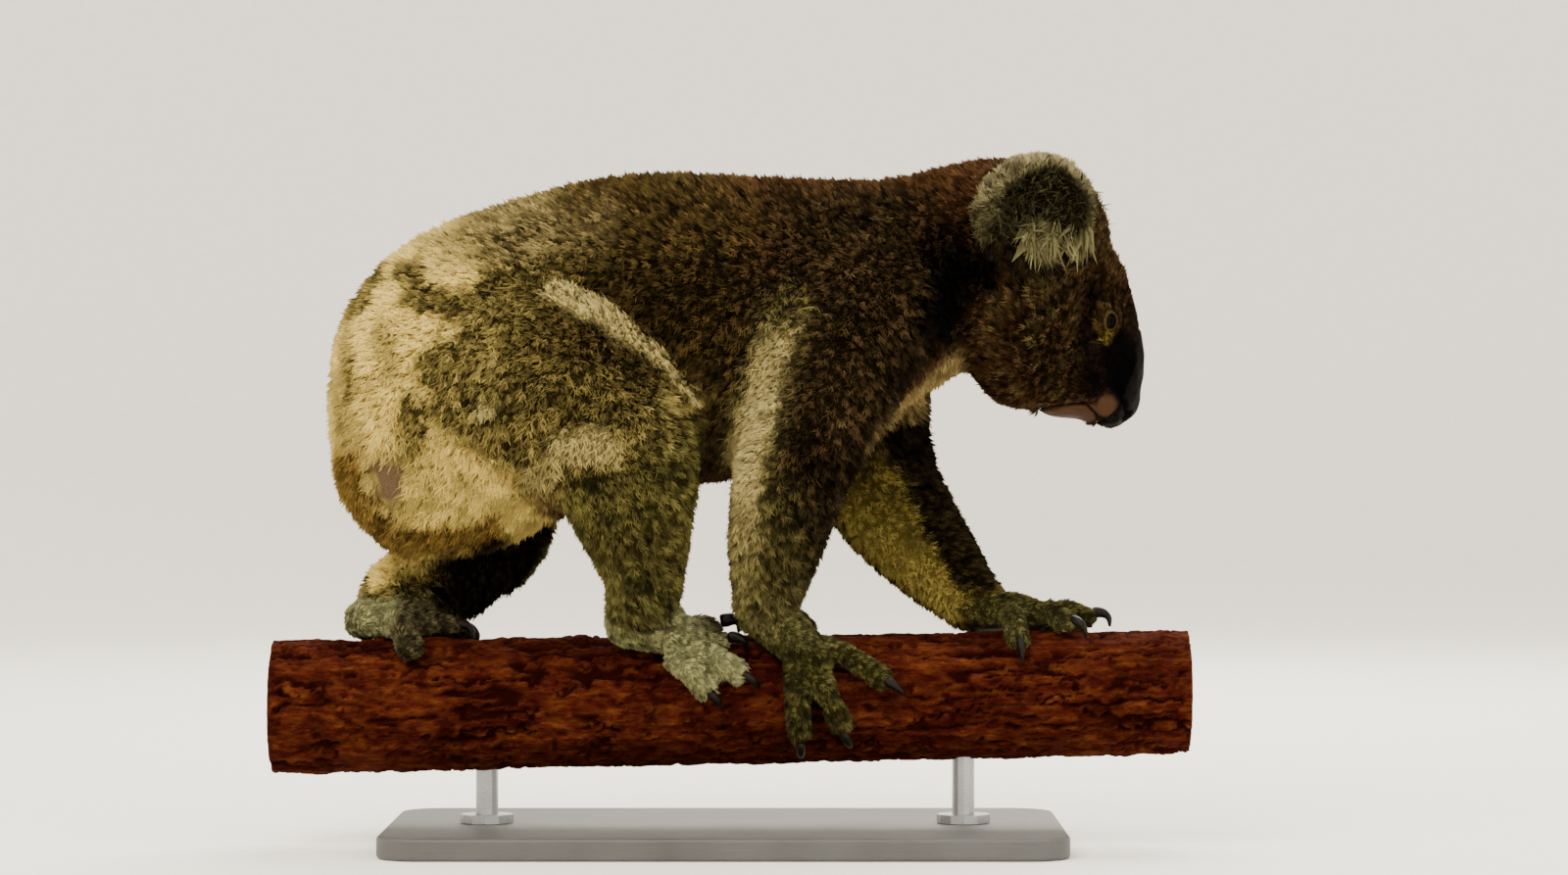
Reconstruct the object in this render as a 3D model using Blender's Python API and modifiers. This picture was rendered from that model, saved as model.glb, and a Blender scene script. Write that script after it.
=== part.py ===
"""A life-size museum model of a koala walking along a cut log, held up by a plain display stand.

The koala walks towards +X on a log that lies along X, and the log stands on two short rods and a flat base.
Its flesh is modelled whole, from lofts and ellipsoids fused and smoothed, and then parted with thin cuts.
Places on the animal are given from the log's axis at x = 0, which is AXIS_HEIGHT above the floor.
Units: metres, +Z up, +X the way the animal walks, -Y its right side. The origin is under the base's middle.
"""

import math

import bmesh
import bpy
import numpy as np
from mathutils import Euler, Matrix, Vector
from mathutils.bvhtree import BVHTree

# ---------------------------------------------------------------- driving dimensions

GAP = 0.0003  # clearance between neighbouring solids

FLAT_ENOUGH = math.radians(0.9)  # neighbouring faces this near to one plane are made one

LOG_RADIUS = 0.0472
LOG_TAPER = 0.0055  # radius lost for each metre towards +X
LOG_SLOPE = 0.017  # rise of the axis for each metre towards +X
LOG_BACK = -0.322
LOG_FRONT = 0.330
LOG_SIDES = 16
LOG_RINGS = 8

BASE_LENGTH = 0.480
BASE_WIDTH = 0.260
BASE_THICKNESS = 0.016
BASE_CORNER = 0.030
ROD_RADIUS = 0.008
ROD_SPREAD = 0.170  # each rod's distance from the middle
ROD_SOCKET = 0.022  # depth of the hole that it fills in the log
COLLAR_RADIUS = 0.019
COLLAR_HEIGHT = 0.006
AXIS_HEIGHT = 0.104

RIGHT, LEFT = -1, 1  # signs of y

# ---------------------------------------------------------------- the trunk's and the limbs' stations

# x, back line z, belly line z, half width
TRUNK = (
    (-0.283, 0.228, 0.198, 0.018),
    (-0.278, 0.262, 0.150, 0.044),
    (-0.266, 0.288, 0.128, 0.066),
    (-0.240, 0.319, 0.104, 0.082),
    (-0.205, 0.340, 0.098, 0.091),
    (-0.160, 0.356, 0.106, 0.095),
    (-0.100, 0.372, 0.134, 0.094),
    (-0.040, 0.378, 0.148, 0.092),
    (0.020, 0.375, 0.159, 0.088),
    (0.070, 0.373, 0.177, 0.080),
    (0.112, 0.373, 0.198, 0.070),
    (0.147, 0.380, 0.219, 0.062),
    (0.180, 0.388, 0.238, 0.057),
    (0.205, 0.386, 0.250, 0.052),
)

# Limb stations: x, y away from the midline, z, half width across the body, half depth along it.
HIND_RIGHT = (
    (-0.172, 0.052, 0.240, 0.052, 0.094),
    (-0.128, 0.073, 0.218, 0.047, 0.088),
    (-0.072, 0.083, 0.172, 0.038, 0.059),
    (-0.063, 0.074, 0.130, 0.034, 0.045),
    (-0.056, 0.056, 0.092, 0.029, 0.032),
    (-0.060, 0.038, 0.060, 0.023, 0.026),
)
HIND_LEFT = (
    (-0.180, 0.054, 0.232, 0.052, 0.092),
    (-0.172, 0.074, 0.176, 0.044, 0.062),
    (-0.168, 0.084, 0.120, 0.036, 0.044),
    (-0.198, 0.068, 0.090, 0.031, 0.040),
    (-0.240, 0.034, 0.070, 0.026, 0.032),
)
FORE_RIGHT = (
    (0.094, 0.046, 0.286, 0.042, 0.066),
    (0.072, 0.066, 0.220, 0.037, 0.052),
    (0.046, 0.072, 0.157, 0.033, 0.042),
    (0.036, 0.058, 0.112, 0.030, 0.036),
    (0.028, 0.036, 0.066, 0.023, 0.024),
)
FORE_LEFT = (
    (0.092, 0.046, 0.284, 0.042, 0.066),
    (0.098, 0.068, 0.216, 0.038, 0.054),
    (0.108, 0.076, 0.160, 0.035, 0.047),
    (0.130, 0.067, 0.124, 0.033, 0.042),
    (0.154, 0.050, 0.095, 0.029, 0.034),
    (0.178, 0.028, 0.069, 0.022, 0.025),
)
LIMBS = {
    "thigh_right shank_right": (RIGHT, HIND_RIGHT, 2),
    "thigh_left shank_left": (LEFT, HIND_LEFT, 2),
    "upper_arm_right forearm_right": (RIGHT, FORE_RIGHT, 2),
    "upper_arm_left forearm_left": (LEFT, FORE_LEFT, 2),
}
SEAM_FROM_MIDLINE = 0.052  # how far out the limbs' cuts run down the trunk's sides
REGION_SPARE = 0.020  # how far a limb's cut stays off the limb
REGION_CROWN = ((0.085, 0.45), (0.055, 0.82))  # rise over the first station, and size, from the top
REGION_FOOT = 0.060  # how far the cut runs on below the last station
REGION_SIDES = 8

# Trunk cuts, from the rear: where the back is crossed, and how far the cut leans towards +X at the top.
TRUNK_CUTS = (("rump", -0.130, 0.10), ("belly", 0.030, -0.10), ("chest", 0.128, 0.28))
HEAD_CUT = 0.178
HEAD_CUT_LEAN = 0.12

# ---------------------------------------------------------------- the head

# centre x, y, z; radii x, y, z
HEAD_MASSES = (
    ((0.219, 0.0, 0.320), (0.058, 0.060, 0.070)),  # cranium
    ((0.215, 0.0, 0.278), (0.048, 0.065, 0.064)),  # cheeks
    ((0.243, 0.0, 0.288), (0.039, 0.041, 0.056)),  # brow and bridge
    ((0.215, 0.0, 0.246), (0.041, 0.055, 0.040)),  # jaw
)
# x, z, half width, half depth, from between the eyes to the lips
MUZZLE = (
    (0.246, 0.290, 0.040, 0.045),
    (0.258, 0.262, 0.036, 0.040),
    (0.264, 0.238, 0.036, 0.034),
    (0.266, 0.221, 0.033, 0.025),
)
CHIN = ((0.243, 0.0, 0.215), (0.027, 0.028, 0.017))
JAW_CUT_LOW = Vector((0.216, 0.0, 0.2075))  # corner of the mouth
JAW_CUT_HIGH = Vector((0.258, 0.0, 0.2125))  # under the upper lip
JAW_BLOCK = (0.0465, 0.080, 0.030)
NOSE_TOP = Vector((0.2895, 0.0, 0.2585))
NOSE_FOOT = Vector((0.2760, 0.0, 0.2060))
EYE_X, EYE_Z, EYE_RADIUS, EYE_PROUD = 0.2715, 0.2700, 0.0078, 0.0026
EAR_CENTRE = Vector((0.2200, 0.0740, 0.3430))
EAR_LEAD = 0.004  # the left ear is this much ahead of that, and the right one behind
EAR_RADII = (0.051, 0.041, 0.014)  # along the head, up, through
EAR_TURN = Euler((math.radians(-14), 0.0, math.radians(-34)))
EAR_HOLLOW = 0.72  # the hollow's size against the ear's

# ---------------------------------------------------------------- the feet

FINGER, TOE, SLIM_TOE, THUMB, PEEPING = 0.0098, 0.0102, 0.0080, 0.0104, 0.0080  # digit radii
# Palm stations: x, angle round the log, lift off the bark, half width.
# Each digit: knuckle x and angle, tip x and angle, radius, claw length, how steeply the claw rises.
# Angles are in degrees from the log's top, positive towards -Y. The hind feet's first digits have no claw.
FOREPAW_RIGHT = {
    "palm": ((0.030, 26, 0.018, 0.022), (0.048, 42, 0.013, 0.021), (0.060, 55, 0.010, 0.018)),
    "digits": {
        1: ((0.036, 10), (0.032, -38), FINGER, 0.024, 0.35),
        2: ((0.044, 8), (0.059, -24), PEEPING, 0.024, 0.35),
        3: ((0.070, 47), (0.110, 73), FINGER, 0.028, 0.45),
        4: ((0.064, 63), (0.082, 107), FINGER, 0.028, 0.45),
        5: ((0.050, 66), (0.053, 114), FINGER, 0.028, 0.45),
    },
}
FOREPAW_LEFT = {
    "palm": ((0.184, -22, 0.016, 0.021), (0.206, -18, 0.013, 0.021), (0.220, -16, 0.011, 0.017)),
    "digits": {
        1: ((0.200, -4), (0.207, 40), FINGER, 0.025, 0.45),
        2: ((0.216, -4), (0.243, 20), FINGER, 0.026, 0.60),
        3: ((0.228, -12), (0.258, -12), FINGER, 0.028, 0.80),
        4: ((0.222, -28), (0.252, -42), FINGER, 0.026, 0.45),
        5: ((0.210, -40), (0.236, -72), FINGER, 0.026, 0.45),
    },
}
HINDFOOT_RIGHT = {
    "palm": ((-0.066, 30, 0.018, 0.023), (-0.046, 33, 0.016, 0.022), (-0.028, 38, 0.013, 0.018)),
    "digits": {
        1: ((-0.050, 12), (-0.030, -40), THUMB, 0.0, 0.0),
        2: ((-0.028, 20), (-0.009, 18), SLIM_TOE, 0.036, 1.30),
        3: ((-0.026, 32), (-0.002, 36), SLIM_TOE, 0.030, 0.80),
        4: ((-0.022, 50), (0.009, 67), TOE, 0.027, 0.45),
        5: ((-0.034, 58), (-0.014, 78), TOE, 0.028, 0.45),
    },
}
HINDFOOT_LEFT = {
    "palm": ((-0.256, -14, 0.014, 0.021), (-0.238, -14, 0.013, 0.021), (-0.220, -14, 0.011, 0.018)),
    "digits": {
        1: ((-0.236, 4), (-0.222, 42), THUMB, 0.0, 0.0),
        2: ((-0.216, -2), (-0.196, -4), SLIM_TOE, 0.026, 0.60),
        3: ((-0.214, -12), (-0.193, -18), SLIM_TOE, 0.026, 0.60),
        4: ((-0.214, -26), (-0.190, -42), TOE, 0.028, 0.45),
        5: ((-0.224, -36), (-0.204, -66), TOE, 0.028, 0.45),
    },
}
PAWS = {
    "forepaw_right": ("claw_fore_right", FOREPAW_RIGHT, "forearm_right"),
    "forepaw_left": ("claw_fore_left", FOREPAW_LEFT, "forearm_left"),
    "hindfoot_right": ("claw_hind_right", HINDFOOT_RIGHT, "shank_right"),
    "hindfoot_left": ("claw_hind_left", HINDFOOT_LEFT, "shank_left"),
}
CLAW_SLENDER = 0.17  # a claw's thickness against its length
CLAW_LIFT = 0.004  # how far a steep claw's root is raised
CLAW_SIDES, CLAW_RINGS = 6, 4
WRAPPING = 20  # a digit that turns further round the log than this, in degrees, lies across it

# ---------------------------------------------------------------- finishes: colour, roughness, metallic

FINISHES = {
    "grey_fur": ((0.150, 0.130, 0.090), 0.95, 0.0),
    "pale_fur": ((0.560, 0.500, 0.330), 0.95, 0.0),
    "nose_leather": ((0.016, 0.012, 0.011), 0.45, 0.0),
    "eye": ((0.020, 0.012, 0.008), 0.12, 0.0),
    "claw": ((0.020, 0.018, 0.018), 0.40, 0.0),
    "bark": ((0.190, 0.070, 0.018), 0.90, 0.0),
    "stand_steel": ((0.300, 0.300, 0.310), 0.35, 1.0),
    "stand_board": ((0.060, 0.058, 0.055), 0.55, 0.0),
}


# ---------------------------------------------------------------- scene set-up


def cleared_scene():
    """Empties the scene and gives the collections for the koala's parts and for the helpers."""
    for old in list(bpy.data.objects):
        bpy.data.objects.remove(old, do_unlink=True)
    made = []
    for name in ("koala", "cutters"):
        collection = bpy.data.collections.new(name)
        bpy.context.scene.collection.children.link(collection)
        made.append(collection)
    return made


PARTS, CUTTERS = cleared_scene()
PERCH_LINE = bpy.data.objects.new("perch_line", None)
PERCH_LINE.location = (0.0, 0.0, AXIS_HEIGHT)
PARTS.objects.link(PERCH_LINE)


def finish(name):
    """The material of that name, made at its first use."""
    material = bpy.data.materials.get(name)
    if material is None:
        colour, roughness, metallic = FINISHES[name]
        material = bpy.data.materials.new(name)
        material.use_nodes = True
        shader = material.node_tree.nodes["Principled BSDF"]
        shader.inputs["Base Color"].default_value = (*colour, 1.0)
        shader.inputs["Roughness"].default_value = roughness
        shader.inputs["Metallic"].default_value = metallic
        material.diffuse_color = (*colour, 1.0)
    return material


def helper(name, mesh):
    """A mesh that shapes others and isn't a part itself."""
    obj = bpy.data.objects.new(name, mesh)
    obj.hide_render = True
    obj.display_type = "WIRE"
    CUTTERS.objects.link(obj)
    return obj


def part(name, mesh, finish_name):
    """A finished sub-part, which stands on the perch line."""
    mesh.name = name
    mesh.materials.clear()
    mesh.materials.append(finish(finish_name))
    obj = bpy.data.objects.new(name, mesh)
    obj.parent = PERCH_LINE
    PARTS.objects.link(obj)
    mesh.shade_smooth()
    mesh.set_sharp_from_angle(angle=math.radians(50))
    return obj


# ---------------------------------------------------------------- shapes


def smooth_rows(rows, count):
    """A Catmull-Rom curve through the rows, positions and sizes together, at count even steps."""
    rows = np.array(rows, float)
    padded = np.vstack([2 * rows[0] - rows[1], rows, 2 * rows[-1] - rows[-2]])
    place = np.linspace(0, len(rows) - 1 - 1e-9, count)
    index = place.astype(int)
    t = (place - index)[:, None]
    a, b, c, d = (padded[index + k] for k in range(4))
    return 0.5 * (2 * b + (c - a) * t + (2 * a - 5 * b + 4 * c - d) * t**2 + (3 * b - a - 3 * c + d) * t**3)


def ringed_mesh(name, rings):
    """A closed mesh of triangles over equal rings of points, with a pole at the middle of each end ring."""
    rings = np.array(rings, float)
    count, sides = rings.shape[:2]
    points = [tuple(p) for p in rings.reshape(-1, 3)]
    points += [tuple(rings[0].mean(0)), tuple(rings[-1].mean(0))]
    faces = []
    for r in range(count - 1):
        for s in range(sides):
            n = (s + 1) % sides
            faces.append((r * sides + s, r * sides + n, (r + 1) * sides + n, (r + 1) * sides + s))
    last = (count - 1) * sides
    for s in range(sides):
        n = (s + 1) % sides
        faces.append((len(points) - 2, n, s))
        faces.append((len(points) - 1, last + s, last + n))
    mesh = bpy.data.meshes.new(name)
    mesh.from_pydata(points, [], faces)
    fix = bmesh.new()
    fix.from_mesh(mesh)
    bmesh.ops.recalc_face_normals(fix, faces=fix.faces)
    bmesh.ops.triangulate(fix, faces=fix.faces)
    fix.to_mesh(mesh)
    fix.free()
    return mesh


def loft(name, rows, side, count=12, sides=16, rounded=True):
    """A tube of elliptical sections. Rows are x, y, z, half width along side, half depth across it."""
    rows = smooth_rows(rows, count)
    centres, sizes = rows[:, :3], rows[:, 3:]
    along = np.gradient(centres, axis=0)
    along /= np.linalg.norm(along, axis=1)[:, None]
    if rounded:
        bow = np.radians((65, 38, 18))
        out, small = np.sin(bow)[:, None], np.cos(bow)[:, None]
        before = centres[0] - along[0] * sizes[0].mean() * out
        after = centres[-1] + along[-1] * sizes[-1].mean() * out[::-1]
        centres = np.vstack([before, centres, after])
        sizes = np.vstack([sizes[0] * small, sizes, sizes[-1] * small[::-1]])
        along = np.vstack([[along[0]] * len(bow), along, [along[-1]] * len(bow)])
    wide = np.array(side, float) - (along @ np.array(side, float))[:, None] * along
    wide /= np.linalg.norm(wide, axis=1)[:, None]
    deep = np.cross(along, wide)
    turn = np.linspace(0, 2 * math.pi, sides, endpoint=False)
    rings = (
        centres[:, None]
        + wide[:, None] * (sizes[:, 0, None] * np.cos(turn))[..., None]
        + deep[:, None] * (sizes[:, 1, None] * np.sin(turn))[..., None]
    )
    return ringed_mesh(name, rings)


def box(name, size, centre):
    """A box of a size about its centre."""
    cube = bmesh.new()
    bmesh.ops.create_cube(cube, size=1.0)
    mesh = bpy.data.meshes.new(name)
    cube.to_mesh(mesh)
    cube.free()
    mesh.transform(Matrix.Translation(centre) @ Matrix.Diagonal((*size, 1.0)))
    return mesh


def upright_sections(name, stations, count, sides):
    """A closed form of upright sections across X. Stations are x, top, low, half width."""
    x, top, low, wide = smooth_rows(stations, count).T
    turn = np.linspace(0, 2 * math.pi, sides, endpoint=False)
    across = wide[:, None] * np.cos(turn)
    height = ((top + low) / 2)[:, None] + ((top - low) / 2)[:, None] * np.sin(turn)
    return ringed_mesh(name, np.stack([np.broadcast_to(x[:, None], across.shape), across, height], axis=2))


def ellipsoid(name, centre, radii, turn=Matrix.Identity(4), segments=20):
    """A sphere stretched to three radii, turned and placed."""
    ball = bmesh.new()
    bmesh.ops.create_uvsphere(ball, u_segments=segments, v_segments=segments // 2, radius=1.0)
    mesh = bpy.data.meshes.new(name)
    ball.to_mesh(mesh)
    ball.free()
    mesh.transform(Matrix.Translation(centre) @ turn @ Matrix.Diagonal((*radii, 1.0)))
    return mesh


def settled(obj):
    """The object's mesh with its modifiers applied; the object itself is removed."""
    bpy.context.view_layer.update()
    graph = bpy.context.evaluated_depsgraph_get()
    mesh = bpy.data.meshes.new_from_object(obj.evaluated_get(graph))
    bpy.data.objects.remove(obj, do_unlink=True)
    return mesh


def fused(name, meshes, voxel, rounds, triangles):
    """One closed skin over overlapping shapes: remeshed on a grid, smoothed and thinned."""
    together = bmesh.new()
    for mesh in meshes:
        together.from_mesh(mesh)
    joined = bpy.data.meshes.new(name)
    together.to_mesh(joined)
    together.free()
    obj = helper(name, joined)
    remesh = obj.modifiers.new("one_skin", "REMESH")
    remesh.mode = "VOXEL"
    remesh.voxel_size = voxel
    smooth = obj.modifiers.new("soften", "SMOOTH")
    smooth.factor = 0.5
    smooth.iterations = rounds
    fine = settled(obj)
    obj = helper(name, fine)
    thin = obj.modifiers.new("thin", "DECIMATE")
    thin.ratio = min(1.0, triangles / (2 * len(fine.polygons)))
    return largest(settled(obj))


def largest(mesh):
    """The mesh in triangles, with only its largest loose piece kept and its doubles merged."""
    work = bmesh.new()
    work.from_mesh(mesh)
    bmesh.ops.remove_doubles(work, verts=work.verts, dist=1e-6)
    bmesh.ops.dissolve_limit(work, angle_limit=FLAT_ENOUGH, verts=work.verts, edges=work.edges)
    bmesh.ops.triangulate(work, faces=work.faces)
    work.verts.ensure_lookup_table()
    unseen = set(work.verts)
    pieces = []
    while unseen:
        stack = [unseen.pop()]
        piece = set(stack)
        while stack:
            for edge in stack.pop().link_edges:
                for vert in edge.verts:
                    if vert in unseen:
                        unseen.discard(vert)
                        piece.add(vert)
                        stack.append(vert)
        pieces.append(piece)
    keep = max(pieces, key=len)
    bmesh.ops.delete(work, geom=[v for v in work.verts if v not in keep], context="VERTS")
    work.to_mesh(mesh)
    work.free()
    return mesh


def combined(mesh, other, operation):
    """The mesh after a Boolean with another."""
    obj = helper("target", mesh)
    tool = helper("tool", other)
    cut = obj.modifiers.new("cut", "BOOLEAN")
    cut.operation = operation
    cut.object = tool
    made = settled(obj)
    bpy.data.objects.remove(tool, do_unlink=True)
    return made


def grown(mesh, by=GAP):
    """A copy swollen along its normals, to cut a neighbour with clearance."""
    obj = helper("grown", mesh.copy())
    swell = obj.modifiers.new("swell", "DISPLACE")
    swell.strength = by
    swell.mid_level = 0.0
    return settled(obj)


def cleared_of(mesh, *others):
    """The mesh with room cut in it for each of the others."""
    for other in others:
        mesh = largest(combined(mesh, grown(other), "DIFFERENCE"))
    return mesh


def halves(mesh, point, normal):
    """The mesh parted by a thin plane cut: (the piece behind it, the piece that the normal points into)."""
    made = []
    for sign in (-1, 1):
        work = bmesh.new()
        work.from_mesh(mesh)
        away = Vector(normal).normalized() * sign
        cut = bmesh.ops.bisect_plane(
            work,
            geom=work.verts[:] + work.edges[:] + work.faces[:],
            plane_co=Vector(point) + away * (GAP / 2),
            plane_no=away,
            clear_inner=True,
        )
        rim = [e for e in cut["geom_cut"] if isinstance(e, bmesh.types.BMEdge)]
        bmesh.ops.holes_fill(work, edges=rim, sides=0)
        bmesh.ops.recalc_face_normals(work, faces=work.faces)
        half = bpy.data.meshes.new(mesh.name)
        work.to_mesh(half)
        work.free()
        made.append(half)
    return made


# ---------------------------------------------------------------- the log and its stand


def log_radius(x):
    """The log's radius at x, before the bark's swellings."""
    return LOG_RADIUS - LOG_TAPER * x


def log_mesh(extra=0.0, overhang=0.0):
    """The log, a tapering trunk with gentle swellings, made thicker by extra and longer by overhang."""
    turn = np.linspace(0, 2 * math.pi, LOG_SIDES, endpoint=False)
    rings = []
    for x in np.linspace(LOG_BACK, LOG_FRONT, LOG_RINGS):
        swell = 0.0011 * np.sin(2 * turn + 19 * x) + 0.0009 * np.sin(3 * turn - 31 * x + 1)
        radius = log_radius(x) + swell * (np.cos(turn) < 0.3) + extra
        ends = overhang * (int(x == LOG_FRONT) - int(x == LOG_BACK))
        middle = LOG_SLOPE * x
        spread = np.full(LOG_SIDES, x + ends)
        rings.append(np.stack([spread, radius * np.sin(turn), middle + radius * np.cos(turn)], axis=1))
    return ringed_mesh("log", rings)


def on_log(x, angle, lift):
    """The point at an angle round the log, lifted off its bark. Angle 0 is its top and 90 its -Y side."""
    turn = math.radians(angle)
    out = log_radius(x) + lift
    return np.array((x, -out * math.sin(turn), LOG_SLOPE * x + out * math.cos(turn)))


def rod_mesh(name, x, radius, low, high):
    """An upright cylinder between two heights from the floor."""
    bar = bmesh.new()
    bmesh.ops.create_cone(bar, cap_ends=True, segments=12, radius1=radius, radius2=radius, depth=high - low)
    mesh = bpy.data.meshes.new(name)
    bar.to_mesh(mesh)
    bar.free()
    mesh.transform(Matrix.Translation((x, 0.0, (low + high) / 2 - AXIS_HEIGHT)))
    return mesh


def collared_rod(name, x):
    """A rod with a collar at its foot. It stands on the base and ends inside the log."""
    top = AXIS_HEIGHT + LOG_SLOPE * x - log_radius(x) + ROD_SOCKET
    low = BASE_THICKNESS + GAP
    bar = rod_mesh(name, x, ROD_RADIUS, low, top)
    collar = rod_mesh(name, x, COLLAR_RADIUS, low, low + COLLAR_HEIGHT)
    return combined(bar, collar, "UNION")


def make_stand_and_log():
    """The base board, two collared rods and the log with their blind holes."""
    size = (BASE_LENGTH, BASE_WIDTH, BASE_THICKNESS)
    board = box("board", size, (0.0, 0.0, BASE_THICKNESS / 2 - AXIS_HEIGHT))
    base = part("stand_base", board, "stand_board")
    corners = base.modifiers.new("corners", "BEVEL")
    corners.affect = "EDGES"
    corners.width = BASE_CORNER
    corners.segments = 6
    corners.limit_method = "WEIGHT"
    weights = board.attributes.new("bevel_weight_edge", "FLOAT", "EDGE")
    for edge in board.edges:
        a, b = (board.vertices[i].co for i in edge.vertices)
        weights.data[edge.index].value = 1.0 if abs(a.z - b.z) > BASE_THICKNESS / 2 else 0.0
    log = log_mesh()
    for name, x in (("stand_rod_rear", -ROD_SPREAD), ("stand_rod_front", ROD_SPREAD)):
        rod = collared_rod(name, x)
        log = cleared_of(log, rod)
        part(name, rod, "stand_steel")
    part("perch_log", log, "bark")


# ---------------------------------------------------------------- trunk and limbs


def limb_rows(sign, stations):
    """Limb stations with y turned to the limb's own side."""
    return [(x, sign * y, z, wide, deep) for x, y, z, wide, deep in stations]


def limb_region(sign, stations):
    """A stack of level sections that holds a whole limb, out from the seam where it meets the trunk."""
    rows = []
    for k, (x, y, z, wide, deep) in enumerate(stations):
        near = stations[k - 1 : k + 2] if k >= 2 else (stations[k],)
        back = min(row[0] - row[4] for row in near) - REGION_SPARE
        front = max(row[0] + row[4] for row in near) + REGION_SPARE
        outer = y + wide + REGION_SPARE
        inner = min(SEAM_FROM_MIDLINE, y - wide - REGION_SPARE / 2)
        rows.append(((back + front) / 2, (outer + inner) / 2, z, (front - back) / 2, (outer - inner) / 2))
    (x, y, z, long, wide), last = rows[0], rows[-1]
    crown = [(x, y, z + rise, long * size, wide * size) for rise, size in REGION_CROWN]
    rows = crown + rows + [(*last[:2], last[2] - REGION_FOOT, *last[3:])]
    turn = np.linspace(0, 2 * math.pi, REGION_SIDES, endpoint=False)
    rings = []
    for x, y, z, long, wide in rows:
        level = np.full(REGION_SIDES, z)
        rings.append(np.stack([x + long * np.cos(turn), sign * (y + wide * np.sin(turn)), level], axis=1))
    return ringed_mesh("limb_region", rings)


def joint_plane(sign, stations, at):
    """Point and normal of the plane that halves a limb's bend at one of its stations."""
    points = [Vector((x, sign * y, z)) for x, y, z, _, _ in stations]
    before = (points[at] - points[at - 1]).normalized()
    after = (points[at + 1] - points[at]).normalized()
    return points[at], (before + after).normalized()


def make_body():
    """Trunk, neck and limbs, fused as one and then parted. Gives the meshes that others clear, by name."""
    shapes = [upright_sections("trunk", TRUNK, count=38, sides=28)]
    shapes += [loft("limb", limb_rows(s, rows), (0, 1, 0), count=14) for s, rows, _ in LIMBS.values()]
    body = fused("body", shapes, voxel=0.0055, rounds=9, triangles=1500)
    flesh = {}
    for names, (sign, stations, bend) in LIMBS.items():
        region = limb_region(sign, stations)
        limb = largest(combined(body.copy(), region, "INTERSECT"))
        body = largest(combined(body, grown(region), "DIFFERENCE"))
        upper, lower = halves(limb, *joint_plane(sign, stations, bend))
        upper_name, lower_name = names.split()
        flesh[upper_name] = part(upper_name, largest(upper), "grey_fur").data
        flesh[lower_name] = part(lower_name, largest(lower), "grey_fur").data
    for name, x, lean in TRUNK_CUTS:
        rear, body = halves(body, (x, 0.0, 0.26), (1.0, 0.0, -lean))
        part(name, largest(rear), "grey_fur")
    neck, _ = halves(body, (HEAD_CUT, 0.0, 0.31), (1.0, 0.0, -HEAD_CUT_LEAN))
    flesh["neck"] = part("neck", largest(neck), "grey_fur").data
    return flesh


# ---------------------------------------------------------------- head


def surface_point(mesh, origin, direction):
    """Where a ray from outside first meets the mesh."""
    faces = [tuple(p.vertices) for p in mesh.polygons]
    tree = BVHTree.FromPolygons([v.co for v in mesh.vertices], faces)
    return tree.ray_cast(Vector(origin), Vector(direction))[0]


def nose_mesh():
    """The bare pad of the nose: a drop that widens downwards over the lips."""
    rows = []
    for t in np.linspace(0, 1, 6):
        centre = NOSE_TOP.lerp(NOSE_FOOT, float(t))
        bulge = math.sin(math.pi * t)
        rows.append((centre.x + 0.0030 * bulge, 0.0, centre.z, 0.0125 + 0.0070 * t, 0.0085 + 0.0045 * bulge))
    return loft("nose", rows, (0, 1, 0), count=12, sides=16)


def ear_mesh(sign):
    """A round ear, a thick dish that opens outwards."""
    turn = Euler((sign * EAR_TURN.x, 0.0, sign * EAR_TURN.z)).to_matrix().to_4x4()
    centre = Vector((EAR_CENTRE.x + sign * EAR_LEAD, sign * EAR_CENTRE.y, EAR_CENTRE.z))
    along, up, through = EAR_RADII
    dish = ellipsoid("ear", centre, (along, through, up), turn, segments=12)
    outwards = turn @ Vector((0.0, sign * through * 0.9, 0.0))
    hollow = tuple(EAR_HOLLOW * r for r in (along, through, up))
    return combined(dish, ellipsoid("hollow", centre + outwards, hollow, turn, segments=10), "DIFFERENCE")


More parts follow.
